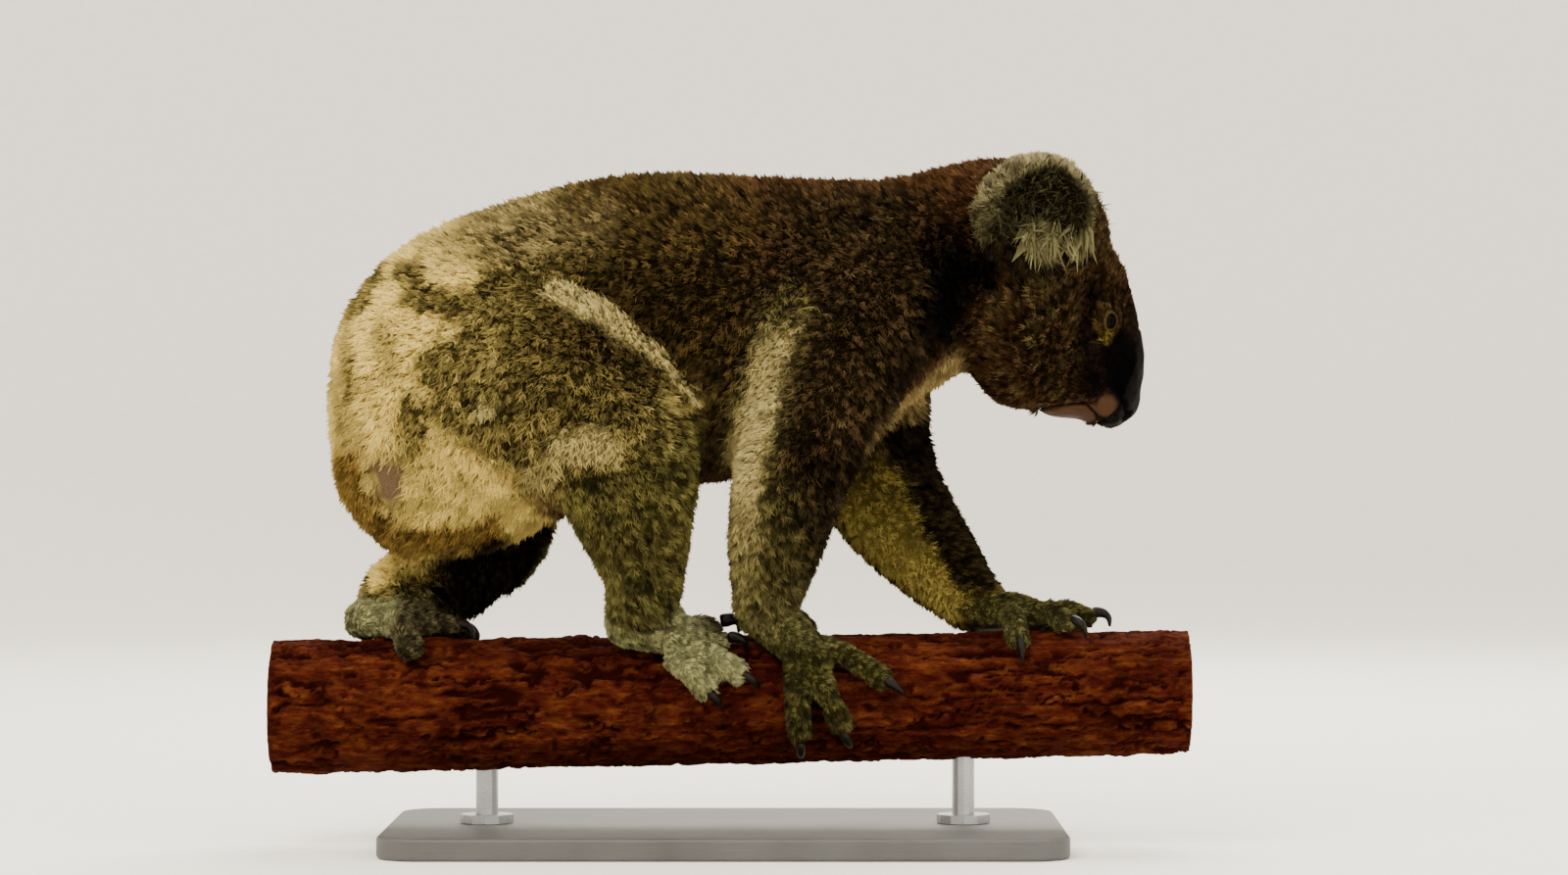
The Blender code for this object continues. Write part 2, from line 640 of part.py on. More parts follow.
def make_head(flesh):
    """Head, jaw, nose pad, eyes and ears, which stay clear of the neck and shoulders."""
    shapes = [ellipsoid("mass", centre, radii) for centre, radii in HEAD_MASSES]
    shapes.append(loft("muzzle", [(x, 0.0, z, wide, deep) for x, z, wide, deep in MUZZLE], (0, 1, 0)))
    shapes.append(upright_sections("nape", TRUNK[-4:], count=8, sides=28))
    shapes.append(ellipsoid("chin", *CHIN))
    head = fused("head", shapes, voxel=0.0036, rounds=11, triangles=740)
    _, head = halves(head, (HEAD_CUT, 0.0, 0.31), (1.0, 0.0, -HEAD_CUT_LEAN))
    head = cleared_of(head, flesh["upper_arm_right"], flesh["upper_arm_left"])
    nose = fused("nose", [nose_mesh()], voxel=0.0022, rounds=3, triangles=110)
    head = cleared_of(head, nose)
    part("nose", nose, "nose_leather")
    for sign, side in ((RIGHT, "right"), (LEFT, "left")):
        skin = surface_point(head, (EYE_X, sign * 0.2, EYE_Z), (0.0, -sign, 0.0))
        centre = skin - Vector((0.35, sign * 0.93, 0.0)) * (EYE_RADIUS - EYE_PROUD)
        ball = ellipsoid("eye", centre, (EYE_RADIUS,) * 3, segments=10)
        head = cleared_of(head, ball)
        part("eye_" + side, ball, "eye")
        ear = ear_mesh(sign)
        ear = cleared_of(ear, head, flesh["neck"])
        part("ear_" + side, ear, "pale_fur")
    mouth = JAW_CUT_HIGH - JAW_CUT_LOW
    length, _, height = JAW_BLOCK
    block = box("jaw_block", JAW_BLOCK, (length / 2, 0.0, -height / 2))
    block.transform(Matrix.Rotation(-math.atan2(mouth.z, mouth.x), 4, "Y"))
    block.transform(Matrix.Translation(JAW_CUT_LOW))
    jaw = largest(combined(head.copy(), block.copy(), "INTERSECT"))
    head = largest(combined(head, grown(block), "DIFFERENCE"))
    part("jaw", jaw, "pale_fur")
    part("head", head, "grey_fur")


# ---------------------------------------------------------------- feet and claws


def claw_mesh(name, root, outwards, inwards, length):
    """A curved claw: a loft along a quarter bow that turns from outwards to inwards and tapers to a point."""
    bow = math.radians(78)
    rows = []
    for t in np.linspace(0, 1, CLAW_RINGS):
        step = length / bow * (math.sin(bow * t) * outwards + (1 - math.cos(bow * t)) * inwards)
        radius = CLAW_SLENDER * length * (1 - 0.86 * t**1.4)
        rows.append((*(root + step), radius * 0.84, radius))
    side = np.cross(outwards, inwards)
    return loft(name, rows, side, count=CLAW_RINGS, sides=CLAW_SIDES, rounded=False)


def digit_rows(knuckle, tip, radius):
    """A digit's stations: it leaves the palm, arches a little off the bark and comes down on its pad."""
    rows = []
    for t in np.linspace(0, 1, 5):
        x = knuckle[0] + (tip[0] - knuckle[0]) * t
        angle = knuckle[1] + (tip[1] - knuckle[1]) * t
        lift = radius * (0.85 + 0.55 * math.sin(math.pi * t))
        swell = radius * (1.0 - 0.10 * math.sin(math.pi * t))
        rows.append((*on_log(x, angle, lift), swell, swell))
    return rows


def make_paws(flesh):
    """The four feet, which grip the log, and their claws."""
    bark = log_mesh(extra=GAP * 1.5, overhang=0.01)
    for paw_name, (claw_name, plan, limb_name) in PAWS.items():
        palm = [(*on_log(x, angle, lift), size, size * 0.8) for x, angle, lift, size in plan["palm"]]
        shapes = [loft("palm", palm, (0, 1, 0), sides=14)]
        claws = []
        for number, (knuckle, tip, radius, claw_length, rise) in plan["digits"].items():
            rows = digit_rows(knuckle, tip, radius)
            wraps = abs(tip[1] - knuckle[1]) > WRAPPING
            shapes.append(loft("digit", rows, (1, 0, 0) if wraps else (0, 1, 0), sides=12))
            start, end = np.array(rows[-2][:3]), np.array(rows[-1][:3])
            ahead = (end - start) / np.linalg.norm(end - start)
            down = on_log(tip[0], tip[1], 0.0) - end
            down -= (down @ ahead) * ahead
            down /= np.linalg.norm(down)
            if claw_length:
                out = ahead - rise * down
                out /= np.linalg.norm(out)
                root = end + ahead * radius * 0.25 - down * (radius * 0.30 + CLAW_LIFT * rise)
                claws.append((f"{claw_name}_{number}", root, out, down, claw_length))
        paw = fused(paw_name, shapes, voxel=0.0021, rounds=3, triangles=216)
        paw = largest(combined(paw, bark.copy(), "DIFFERENCE"))
        paw = cleared_of(paw, flesh[limb_name])
        for name, root, out, down, length in claws:
            claw = claw_mesh(name, root, out, down, length)
            claw = largest(combined(claw, bark.copy(), "DIFFERENCE"))
            paw = cleared_of(paw, claw)
            part(name, claw, "claw")
        part(paw_name, paw, "grey_fur")


make_stand_and_log()
body_flesh = make_body()
make_paws(body_flesh)
make_head(body_flesh)
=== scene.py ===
"""The looks of a museum koala walking along a cut log: skin, coat, face, claws, bark and stand.

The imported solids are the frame. One skin is made from the flesh nodes, drawn in by the coat's depth, and
tufts of fur are grown on it out to the solids' outline. The nose, eyes, claws, log and stand board are
detailed pieces of their own, and the rods keep their solids with a brushed finish.
Units: metres, +Z up, +X the way the koala walks, -Y its right side, and the floor is at z = 0.
"""

import logging
import math
from dataclasses import dataclass, field
from enum import Enum
from typing import Any, Callable, Sequence

import bpy
import numpy as np
from mathutils import Euler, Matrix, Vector


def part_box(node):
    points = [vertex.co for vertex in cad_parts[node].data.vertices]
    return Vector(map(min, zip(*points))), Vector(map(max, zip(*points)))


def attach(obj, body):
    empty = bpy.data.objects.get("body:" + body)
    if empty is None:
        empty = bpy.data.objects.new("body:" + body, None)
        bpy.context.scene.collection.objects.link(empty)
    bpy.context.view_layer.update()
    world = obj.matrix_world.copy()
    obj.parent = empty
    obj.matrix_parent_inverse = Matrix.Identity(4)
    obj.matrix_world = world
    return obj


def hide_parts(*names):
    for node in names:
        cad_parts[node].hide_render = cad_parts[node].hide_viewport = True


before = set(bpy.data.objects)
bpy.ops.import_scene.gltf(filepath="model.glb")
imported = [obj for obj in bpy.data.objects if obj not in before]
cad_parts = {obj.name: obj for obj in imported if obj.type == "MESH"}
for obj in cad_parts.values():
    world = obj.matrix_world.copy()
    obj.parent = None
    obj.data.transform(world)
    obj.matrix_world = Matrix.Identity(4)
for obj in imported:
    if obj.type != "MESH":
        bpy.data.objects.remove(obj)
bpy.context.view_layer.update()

Array = np.ndarray
Colour = tuple[float, float, float]

LOG = logging.getLogger("koala")
BODY = "root"
PERCH_HEIGHT = 0.104  # the log's axis above the floor at x = 0, as in the source of the solids
PERCH_SLOPE = 0.017  # how much that axis rises for each metre along x
SIDES = {"right": -1, "left": 1}
SEED = 20

# ---------------------------------------------------------------- number work on whole arrays


def unit(vectors: Array) -> Array:
    """Each row divided by its length."""
    return vectors / np.maximum(np.linalg.norm(vectors, axis=-1, keepdims=True), 1e-12)


def ease(low: float, high: float, values: Array) -> Array:
    """A smooth step from 0 at low to 1 at high, level at both ends. low above high turns it round."""
    t = np.clip((values - low) / (high - low), 0.0, 1.0)
    return t * t * (3.0 - 2.0 * t)


def mixed(first: Array, second: Array, share: Array) -> Array:
    """Rows of first and second, blended by one share for each row."""
    return first + (second - first) * share[:, None]


def row_dot(first: Array, second: Array) -> Array:
    """The dot product of each row with the same row of second."""
    return np.einsum("ij,ij->i", first, np.broadcast_to(second, first.shape))


def route_distance(points: Array, route: Sequence[Sequence[float]]) -> Array:
    """How far each point is from a line through the route's points, in as many dimensions as they have.

    The nearest place on each stretch is the point's projection on it, held between the stretch's ends.

    Args:
        points: One row for each point.
        route: The corners of the line.

    Returns:
        The distance for each point.
    """
    nearest = np.full(len(points), np.inf)
    for start, end in zip(np.array(route[:-1]), np.array(route[1:])):
        stretch = end - start
        t = np.clip((points - start) @ stretch / (stretch @ stretch), 0.0, 1.0)
        nearest = np.minimum(nearest, np.linalg.norm(points - start - t[:, None] * stretch, axis=1))
    return nearest


class Noise:
    """Smooth seeded noise: random values on a lattice of cubes, eased between the eight corners of each."""

    SIZE = 48

    def __init__(self, seed: int) -> None:
        """Draws the lattice.

        Args:
            seed: Any whole number. The same seed gives the same noise.
        """
        self.lattice = np.random.default_rng(seed).uniform(-1, 1, (self.SIZE,) * 3)

    def __call__(self, points: Array, cell: Any, octaves: int = 1) -> Array:
        """Noise between about -1 and 1.

        Args:
            points: Places, one row each.
            cell: The cubes' size, one number or one for each axis.
            octaves: How many layers are added, each twice as fine and half as strong.

        Returns:
            One value for each place.
        """
        total = np.zeros(len(points))
        for octave in range(octaves):
            scaled = points / (np.array(cell) / 2**octave) + 17.3 * octave
            corner = np.floor(scaled).astype(np.int64)
            part = scaled - corner
            part = part * part * (3 - 2 * part)
            low, high = corner % self.SIZE, (corner + 1) % self.SIZE
            value = np.zeros(len(points))
            for x, wx in ((low[:, 0], 1 - part[:, 0]), (high[:, 0], part[:, 0])):
                for y, wy in ((low[:, 1], 1 - part[:, 1]), (high[:, 1], part[:, 1])):
                    for z, wz in ((low[:, 2], 1 - part[:, 2]), (high[:, 2], part[:, 2])):
                        value += wx * wy * wz * self.lattice[x, y, z]
            total += value / 2**octave
        return total


class Cells:
    """Scattered centres, one in each cube of a lattice, that hairs can gather round."""

    SIZE = 40

    def __init__(self, seed: int) -> None:
        """Draws each cube's centre and its own random number."""
        rng = np.random.default_rng(seed)
        self.centres = rng.uniform(0, 1, (self.SIZE,) * 3 + (3,))
        self.numbers = rng.uniform(-1, 1, (self.SIZE,) * 3)

    def nearest(self, points: Array, size: Array) -> tuple[Array, Array, Array]:
        """The nearest centre of the 27 cubes round each point.

        Args:
            points: Places, one row each.
            size: The cubes' size at each place, in a few steps.

        Returns:
            For each point the centre's place, its random number from -1 to 1, and how many cubes off it is.
        """
        scaled = points / size[:, None]
        home = np.floor(scaled).astype(np.int64)
        best = np.full(len(points), np.inf)
        place, number = np.zeros_like(points), np.zeros(len(points))
        for shift in np.ndindex(3, 3, 3):
            cube = home + np.array(shift) - 1
            key = tuple((cube % self.SIZE).T)
            centre = cube + self.centres[key]
            gap = ((scaled - centre) ** 2).sum(axis=1)
            closer = gap < best
            best = np.where(closer, gap, best)
            place = np.where(closer[:, None], centre * size[:, None], place)
            number = np.where(closer, self.numbers[key], number)
        return place, number, np.sqrt(best)


# ---------------------------------------------------------------- meshes as arrays


@dataclass
class Surface:
    """A mesh as arrays: places of its points, and faces of three or four corners each."""

    points: Array
    faces: Array
    smooth: bool = True

    def normals(self) -> Array:
        """Each point's normal: the sum of its triangles' cross products, made one long."""
        a, b, c = (self.points[self.faces[:, k]] for k in range(3))
        face = np.cross(b - a, c - a)
        total = np.zeros_like(self.points)
        for corner in range(self.faces.shape[1]):
            for axis in range(3):
                total[:, axis] += np.bincount(self.faces[:, corner], face[:, axis], len(self.points))
        return unit(total)

    def made(self, name: str) -> bpy.types.Object:
        """The surface as an object at the origin, in the scene.

        Args:
            name: The object's name.

        Returns:
            The new mesh object.
        """
        mesh = bpy.data.meshes.new(name)
        corners = self.faces.shape[1]
        mesh.vertices.add(len(self.points))
        mesh.vertices.foreach_set("co", self.points.astype(np.float32).ravel())
        mesh.loops.add(self.faces.size)
        mesh.loops.foreach_set("vertex_index", self.faces.astype(np.int32).ravel())
        mesh.polygons.add(len(self.faces))
        mesh.polygons.foreach_set("loop_start", np.arange(0, self.faces.size, corners, dtype=np.int32))
        mesh.polygons.foreach_set("use_smooth", np.full(len(self.faces), self.smooth))
        mesh.update(calc_edges=True)
        obj = bpy.data.objects.new(name, mesh)
        bpy.context.scene.collection.objects.link(obj)
        return obj


def read(obj: bpy.types.Object) -> Surface:
    """An object's mesh with its modifiers, as triangles."""
    evaluated = obj.evaluated_get(bpy.context.evaluated_depsgraph_get())
    mesh = evaluated.to_mesh()
    mesh.calc_loop_triangles()
    points = np.empty(len(mesh.vertices) * 3, np.float32)
    mesh.vertices.foreach_get("co", points)
    faces = np.empty(len(mesh.loop_triangles) * 3, np.int32)
    mesh.loop_triangles.foreach_get("vertices", faces)
    evaluated.to_mesh_clear()
    return Surface(points.reshape(-1, 3).astype(float), faces.reshape(-1, 3))


def welded(surface: Surface, reach: float = 1e-5) -> Surface:
    """The surface with the points that lie within about reach of each other made one."""
    _, first, index = np.unique(
        np.round(surface.points / reach).astype(np.int64), axis=0, return_index=True, return_inverse=True
    )
    faces = index.reshape(-1)[surface.faces]
    whole = (faces != np.roll(faces, 1, axis=1)).all(axis=1)
    return Surface(surface.points[first], faces[whole])


def solid(name: str) -> Surface:
    """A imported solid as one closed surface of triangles."""
    return welded(read(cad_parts[name]))


def joined(surfaces: Sequence[Surface]) -> Surface:
    """Several surfaces of like faces as one."""
    starts = np.cumsum([0] + [len(s.points) for s in surfaces[:-1]])
    faces = np.vstack([s.faces + start for s, start in zip(surfaces, starts)])
    return Surface(np.vstack([s.points for s in surfaces]), faces, surfaces[0].smooth)


def remeshed(surface: Surface, voxel: float) -> Surface:
    """The surface built again as one even skin of small squares, cut into triangles."""
    obj = surface.made("remesh_helper")
    modifier = obj.modifiers.new("remesh", "REMESH")
    modifier.mode = "VOXEL"
    modifier.voxel_size = voxel
    result = read(obj)
    bpy.data.objects.remove(obj)
    return result


def thinned(surface: Surface, share: float) -> Surface:
    """A surface with that share of its triangles left, most of them where it bends most."""
    obj = surface.made("thinned")
    modifier = obj.modifiers.new("thin", "DECIMATE")
    modifier.ratio = share
    thin = read(obj)
    bpy.data.objects.remove(obj)
    return thin


def largest_shell(surface: Surface) -> Surface:
    """The surface without the small closed bubbles that a remesh can leave inside it."""
    shell = np.arange(len(surface.points))
    settled = False
    while not settled:
        lowest = shell[surface.faces].min(axis=1)
        lower = shell.copy()
        for corner in range(3):
            np.minimum.at(lower, surface.faces[:, corner], lowest)
        lower = lower[lower]
        settled = bool((lower == shell).all())
        shell = lower
    kept = shell == np.argmax(np.bincount(shell))
    number = np.cumsum(kept) - 1
    return Surface(surface.points[kept], number[surface.faces[kept[surface.faces[:, 0]]]])


class Web:
    """The links between the neighbouring points of a mesh of triangles."""

    def __init__(self, surface: Surface) -> None:
        """Collects each edge once."""
        faces = surface.faces
        edges = np.sort(np.vstack([faces[:, [0, 1]], faces[:, [1, 2]], faces[:, [2, 0]]]))
        count = len(surface.points)
        keys = np.unique(edges[:, 0].astype(np.int64) * count + edges[:, 1])
        self.first, self.second, self.count = keys // count, keys % count, count
        self.degree = np.maximum(np.bincount(np.concatenate([self.first, self.second]), minlength=count), 1)

    def neighbours(self, values: Array) -> Array:
        """The mean of the neighbours' values, for each point and column."""
        columns = []
        for column in values.reshape(self.count, -1).T:
            total = np.bincount(self.first, column[self.second], self.count)
            total += np.bincount(self.second, column[self.first], self.count)
            columns.append(total / self.degree)
        return np.stack(columns, axis=1).reshape(values.shape)

    def smoothed(self, values: Array, rounds: int, share: Any = 0.5) -> Array:
        """Values drawn towards their neighbours' mean.

        Args:
            values: One value or row for each point.
            rounds: How many times.
            share: How far each time, one number or one for each point.

        Returns:
            The smoothed values.
        """
        for _ in range(rounds):
            values = values + (self.neighbours(values) - values) * share
        return values

    def fair(self, points: Array, rounds: int) -> Array:
        """Points smoothed without shrinking: each round draws them in and then a little further out."""
        for _ in range(rounds):
            points = self.smoothed(points, 1, 0.50)
            points = self.smoothed(points, 1, -0.52)
        return points


def refined(surface: Surface, inside: Callable[[Array], Array]) -> Surface:
    """A mesh of triangles with the edges in one region halved.

    A triangle with one, two or three halved edges becomes two, three or four triangles, so no gap opens.

    Args:
        surface: The mesh.
        inside: Says for each of the edges' middles whether that edge is halved.

    Returns:
        The finer mesh. The old points keep their numbers.
    """
    corners, count = surface.faces, len(surface.points)
    sides = np.sort(np.stack([corners, np.roll(corners, -1, axis=1)], axis=-1).reshape(-1, 2), axis=1)
    edges, index = np.unique(sides, axis=0, return_inverse=True)
    middles = surface.points[edges].mean(axis=1)
    halved = inside(middles)
    number = np.where(halved, count + np.cumsum(halved) - 1, -1)
    middle = number[index.reshape(-1)].reshape(-1, 3)
    split = middle >= 0
    # Each triangle is turned so that its halved edges come first. Then one rule serves each number of them.
    total = split.sum(axis=1)
    turn = np.zeros(len(corners), int)
    for start in range(3):
        rolled = np.roll(split, -start, axis=1)
        leads = np.where(total == 1, rolled[:, 0], (total == 2) & rolled[:, 0] & rolled[:, 1])
        turn = np.where(leads, start, turn)
    order = (np.arange(3)[None, :] + turn[:, None]) % 3
    a, b, c = np.take_along_axis(corners, order, axis=1).T
    ab, bc, ca = np.take_along_axis(middle, order, axis=1).T
    rules = {
        0: ((a, b, c),),
        1: ((a, ab, c), (ab, b, c)),
        2: ((a, ab, c), (ab, bc, c), (ab, b, bc)),
        3: ((a, ab, ca), (ab, b, bc), (ca, bc, c), (ab, bc, ca)),
    }
    faces = [np.stack(row, axis=1)[total == k] for k, rows in rules.items() for row in rows]
    return Surface(np.vstack([surface.points, middles[halved]]), np.vstack(faces))


def grid(points: Array, around: bool, ends: bool) -> Surface:
    """A surface through a grid of places, of rows along and columns across.

    Args:
        points: An array of rows, columns and three coordinates.
        around: Whether the last column joins the first.
        ends: Whether the first and last rows are closed with a fan round their middles.

    Returns:
        The surface, of triangles where it has ends and of four-sided faces where not.
    """
    rows, columns = points.shape[:2]
    index = np.arange(rows * columns).reshape(rows, columns)
    across = np.roll(index, -1, axis=1) if around else index[:, 1:]
    here = index if around else index[:, :-1]
    quads = np.stack([here[:-1], across[:-1], across[1:], here[1:]], axis=-1).reshape(-1, 4)
    flat = points.reshape(-1, 3)
    if not ends:
        return Surface(flat, quads)
    triangles = [quads[:, [0, 1, 2]], quads[:, [0, 2, 3]]]
    first, last = len(flat), len(flat) + 1
    fan = np.stack([np.full(columns, first), np.roll(index[0], -1), index[0]], axis=1)
    triangles += [fan, np.stack([np.full(columns, last), index[-1], np.roll(index[-1], -1)], axis=1)]
    middles = np.stack([points[0].mean(axis=0), points[-1].mean(axis=0)])
    return Surface(np.vstack([flat, middles]), np.vstack(triangles))


def set_attribute(obj: bpy.types.Object, name: str, values: Array) -> None:
    """Stores one number or one colour for each point of a mesh, for its material to read."""
    mesh = obj.data
    if values.ndim == 1:
        layer = mesh.attributes.new(name, "FLOAT", "POINT")
        layer.data.foreach_set("value", values.astype(np.float32))
        return
    layer = mesh.attributes.new(name, "FLOAT_COLOR", "POINT")
    rgba = np.hstack([values, np.ones((len(values), 1))])
    layer.data.foreach_set("color", rgba.astype(np.float32).ravel())


# ---------------------------------------------------------------- shader nodes


class Value:
    """A socket that gives a number, so that sums on it are written as Python expressions."""

    def __init__(self, shader: "Shader", socket: bpy.types.NodeSocket) -> None:
        """Wraps a socket of that shader."""
        self.shader, self.socket = shader, socket

    def _sum(self, operation: str, first: Any, second: Any) -> "Value":
        """The outcome of one math node on two values."""
        return self.shader.value("ShaderNodeMath", {"operation": operation}, {0: first, 1: second})

    def __add__(self, other: Any) -> "Value":
        """This plus other."""
        return self._sum("ADD", self, other)

    def __radd__(self, other: Any) -> "Value":
        """Other plus this."""
        return self._sum("ADD", other, self)

    def __sub__(self, other: Any) -> "Value":
        """This less other."""
        return self._sum("SUBTRACT", self, other)

    def __rsub__(self, other: Any) -> "Value":
        """Other less this."""
        return self._sum("SUBTRACT", other, self)

    def __mul__(self, other: Any) -> "Value":
        """This times other."""
        return self._sum("MULTIPLY", self, other)

    def __rmul__(self, other: Any) -> "Value":
        """Other times this."""
        return self._sum("MULTIPLY", other, self)

    def __pow__(self, other: Any) -> "Value":
        """This to the power of other."""
        return self._sum("POWER", self, other)

    def held(self) -> "Value":
        """This, held between 0 and 1."""
        return self.shader.value("ShaderNodeClamp", {}, {"Value": self})


class Shader:
    """A material under construction, with its Principled shader."""

    def __init__(self, name: str, **constants: Any) -> None:
        """Starts the material.

        Args:
            name: The material's name.
            constants: Values of the shader's own sockets, named with _ for each space.
        """
        self.material = bpy.data.materials.new(name)
        self.material.use_nodes = True
        self.tree = self.material.node_tree
        self.surface = self.tree.nodes["Principled BSDF"]
        for socket, value in constants.items():
            self.feed(socket.replace("_", " "), value)

    def feed(self, socket: str, value: Any) -> None:
        """Links a value to one of the shader's own sockets, or sets it."""
        self._put(self.surface.inputs[socket], value)

    def _put(self, socket: bpy.types.NodeSocket, value: Any) -> None:
        """Links a socket to a value's own, or sets it to a constant."""
        if isinstance(value, Value):
            self.tree.links.new(value.socket, socket)
        elif isinstance(value, bpy.types.NodeSocket):
            self.tree.links.new(value, socket)
        elif socket.type == "RGBA":
            socket.default_value = (*value, 1.0)[:4]
        else:
            socket.default_value = value

    def node(self, kind: str, settings: dict, inputs: dict) -> bpy.types.Node:
        """Adds any node.

        Args:
            kind: The node's type.
            settings: Its own settings, set first. "stops" fills a colour ramp.
            inputs: Values or links, by socket name or number.

        Returns:
            The node.
        """
        node = self.tree.nodes.new(kind)
        for name, setting in settings.items():
            if name == "stops":
                elements = node.color_ramp.elements
                while len(elements) < len(setting):
                    elements.new(0.5)
                for element, (place, colour) in zip(elements, setting):
                    element.position = place
                    element.color = (*colour, 1.0)
            else:
                setattr(node, name, setting)
        for name, value in inputs.items():
            self._put(node.inputs[name], value)
        return node

    def value(self, kind: str, settings: dict, inputs: dict, output: Any = 0) -> Value:
        """Adds a node and wraps one of its outputs, which gives a number."""
        return Value(self, self.node(kind, settings, inputs).outputs[output])

    def place(
        self, scale: Sequence[float] = (1, 1, 1), shift: Sequence[float] = (0, 0, 0)
    ) -> bpy.types.NodeSocket:
        """The place on the piece, in its own metres, scaled and then shifted."""
        source = self.node("ShaderNodeTexCoord", {}, {}).outputs["Object"]
        inputs = {"Vector": source, "Scale": scale, "Location": shift}
        return self.node("ShaderNodeMapping", {}, inputs).outputs[0]

    def noise(self, place: Any, scale: float, detail: float = 3.0, rough: float = 0.55) -> Value:
        """Smooth noise between 0 and 1. scale is in lumps for each metre."""
        inputs = {"Vector": place, "Scale": scale, "Detail": detail, "Roughness": rough}
        return self.value("ShaderNodeTexNoise", {}, inputs)

    def attribute(self, name: str) -> bpy.types.Node:
        """Reads a stored attribute. Its outputs are Color and Fac."""
        return self.node("ShaderNodeAttribute", {"attribute_name": name}, {})

    def number(self, name: str) -> Value:
        """Reads a stored number."""
        return Value(self, self.attribute(name).outputs["Fac"])

    def ramp(self, factor: Any, stops: Sequence[tuple[float, Colour]]) -> bpy.types.NodeSocket:
        """A colour that runs through the stops as factor goes from 0 to 1."""
        return self.node("ShaderNodeValToRGB", {"stops": stops}, {"Fac": factor}).outputs["Color"]

    def blend(self, factor: Any, first: Any, second: Any, how: str = "MIX") -> bpy.types.NodeSocket:
        """Two colours mixed by factor, or multiplied, added and so on by it."""
        settings = {"data_type": "RGBA", "blend_type": how}
        return self.node("ShaderNodeMix", settings, {0: factor, 6: first, 7: second}).outputs[2]

    def bump(self, height: Value, distance: float, strength: float = 1.0) -> None:
        """Raises the surface's shading by height, up to distance."""
        inputs = {"Height": height, "Distance": distance, "Strength": strength}
        self.feed("Normal", self.node("ShaderNodeBump", {}, inputs).outputs[0])


def dress(obj: bpy.types.Object, shader: Shader) -> None:
    """Gives an object one material."""
    obj.data.materials.clear()
    obj.data.materials.append(shader.material)


def hand_over(obj: bpy.types.Object, slot: str, *nodes: str) -> None:
    """Makes a finished piece ride on the model and hides the nodes that it stands for."""
    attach(obj, BODY)
    if nodes:
        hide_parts(*nodes)
    LOG.info("%s: %d triangles", obj.name, sum(len(p.vertices) - 2 for p in obj.data.polygons))


# ---------------------------------------------------------------- what the coat is like on each part


class Part(Enum):
    """The parts of the body that differ in their coat."""

    RUMP = "rump"
    BELLY = "belly"
    CHEST = "chest"
    NECK = "neck"
    HEAD = "head"
    JAW = "jaw"
    NOSE = "nose"
    EAR = "ear"
    UPPER_ARM = "upper_arm"
    FOREARM = "forearm"
    FOREPAW = "forepaw"
    THIGH = "thigh"
    SHANK = "shank"
    HINDFOOT = "hindfoot"


@dataclass(frozen=True)
class Fur:
    """How the coat grows on one part.

    Attributes:
        depth: How far the skin lies inside the solid's outline, in metres.
        length: The tufts' length, in metres.
        lift: How far they stand off the skin, in degrees.
        half_width: Half of a tuft's width, in metres.
        density: Tufts for each square millimetre.
        clump: The size of a lock, in metres.
        gather: How far tips are drawn to the middle of their lock, from 0 to 1.
        colour: The hair's colour under the markings.
    """

    depth: float
    length: float
    lift: float
    half_width: float
    density: float
    clump: float
    gather: float
    colour: Colour


FURS = {
    Part.RUMP: Fur(0.0095, 0.0110, 56, 0.00037, 0.62, 0.0058, 0.50, (0.1520, 0.1140, 0.0315)),
    Part.BELLY: Fur(0.0088, 0.0101, 58, 0.00036, 0.64, 0.0052, 0.60, (0.0420, 0.0268, 0.0073)),
    Part.CHEST: Fur(0.0085, 0.0098, 58, 0.00036, 0.64, 0.0052, 0.60, (0.0388, 0.0172, 0.0060)),
    Part.NECK: Fur(0.0080, 0.0094, 58, 0.00034, 0.66, 0.0050, 0.60, (0.0460, 0.0208, 0.0075)),
    Part.HEAD: Fur(0.0052, 0.0072, 46, 0.00028, 0.94, 0.0040, 0.50, (0.0255, 0.0124, 0.0045)),
    Part.JAW: Fur(0.0022, 0.0034, 24, 0.00030, 0.90, 0.0030, 0.15, (0.150, 0.072, 0.0360)),
    Part.NOSE: Fur(0.0018, 0.0026, 20, 0.00026, 0.90, 0.0030, 0.05, (0.0020, 0.0012, 0.0009)),
    Part.EAR: Fur(0.0016, 0.0080, 42, 0.00032, 0.90, 0.0048, 0.40, (0.170, 0.140, 0.0580)),
    Part.UPPER_ARM: Fur(0.0078, 0.0093, 56, 0.00036, 0.60, 0.0054, 0.60, (0.0345, 0.0212, 0.0075)),
    Part.FOREARM: Fur(0.0048, 0.0069, 46, 0.00035, 0.72, 0.0048, 0.50, (0.0600, 0.0490, 0.0150)),
    # The forepaws' colour is their pale grey fur darkened by painted shade.
    Part.FOREPAW: Fur(0.0019, 0.0044, 28, 0.00024, 1.20, 0.0034, 0.30, (0.0480, 0.0420, 0.0120)),
    Part.THIGH: Fur(0.0090, 0.0103, 56, 0.00038, 0.58, 0.0056, 0.60, (0.1630, 0.1240, 0.0350)),
    Part.SHANK: Fur(0.0056, 0.0076, 46, 0.00036, 0.68, 0.0050, 0.50, (0.0850, 0.0715, 0.0190)),
    Part.HINDFOOT: Fur(0.0020, 0.0046, 28, 0.00026, 1.15, 0.0036, 0.30, (0.2500, 0.2430, 0.1080)),
}

# How strongly lines of painted shade part the coat into woolly lumps.
WOOLLY = {
    Part.RUMP: 0.9,
    Part.THIGH: 1.0,
    Part.SHANK: 0.9,
    Part.BELLY: 0.45,
    Part.CHEST: 0.45,
    Part.UPPER_ARM: 0.5,
}

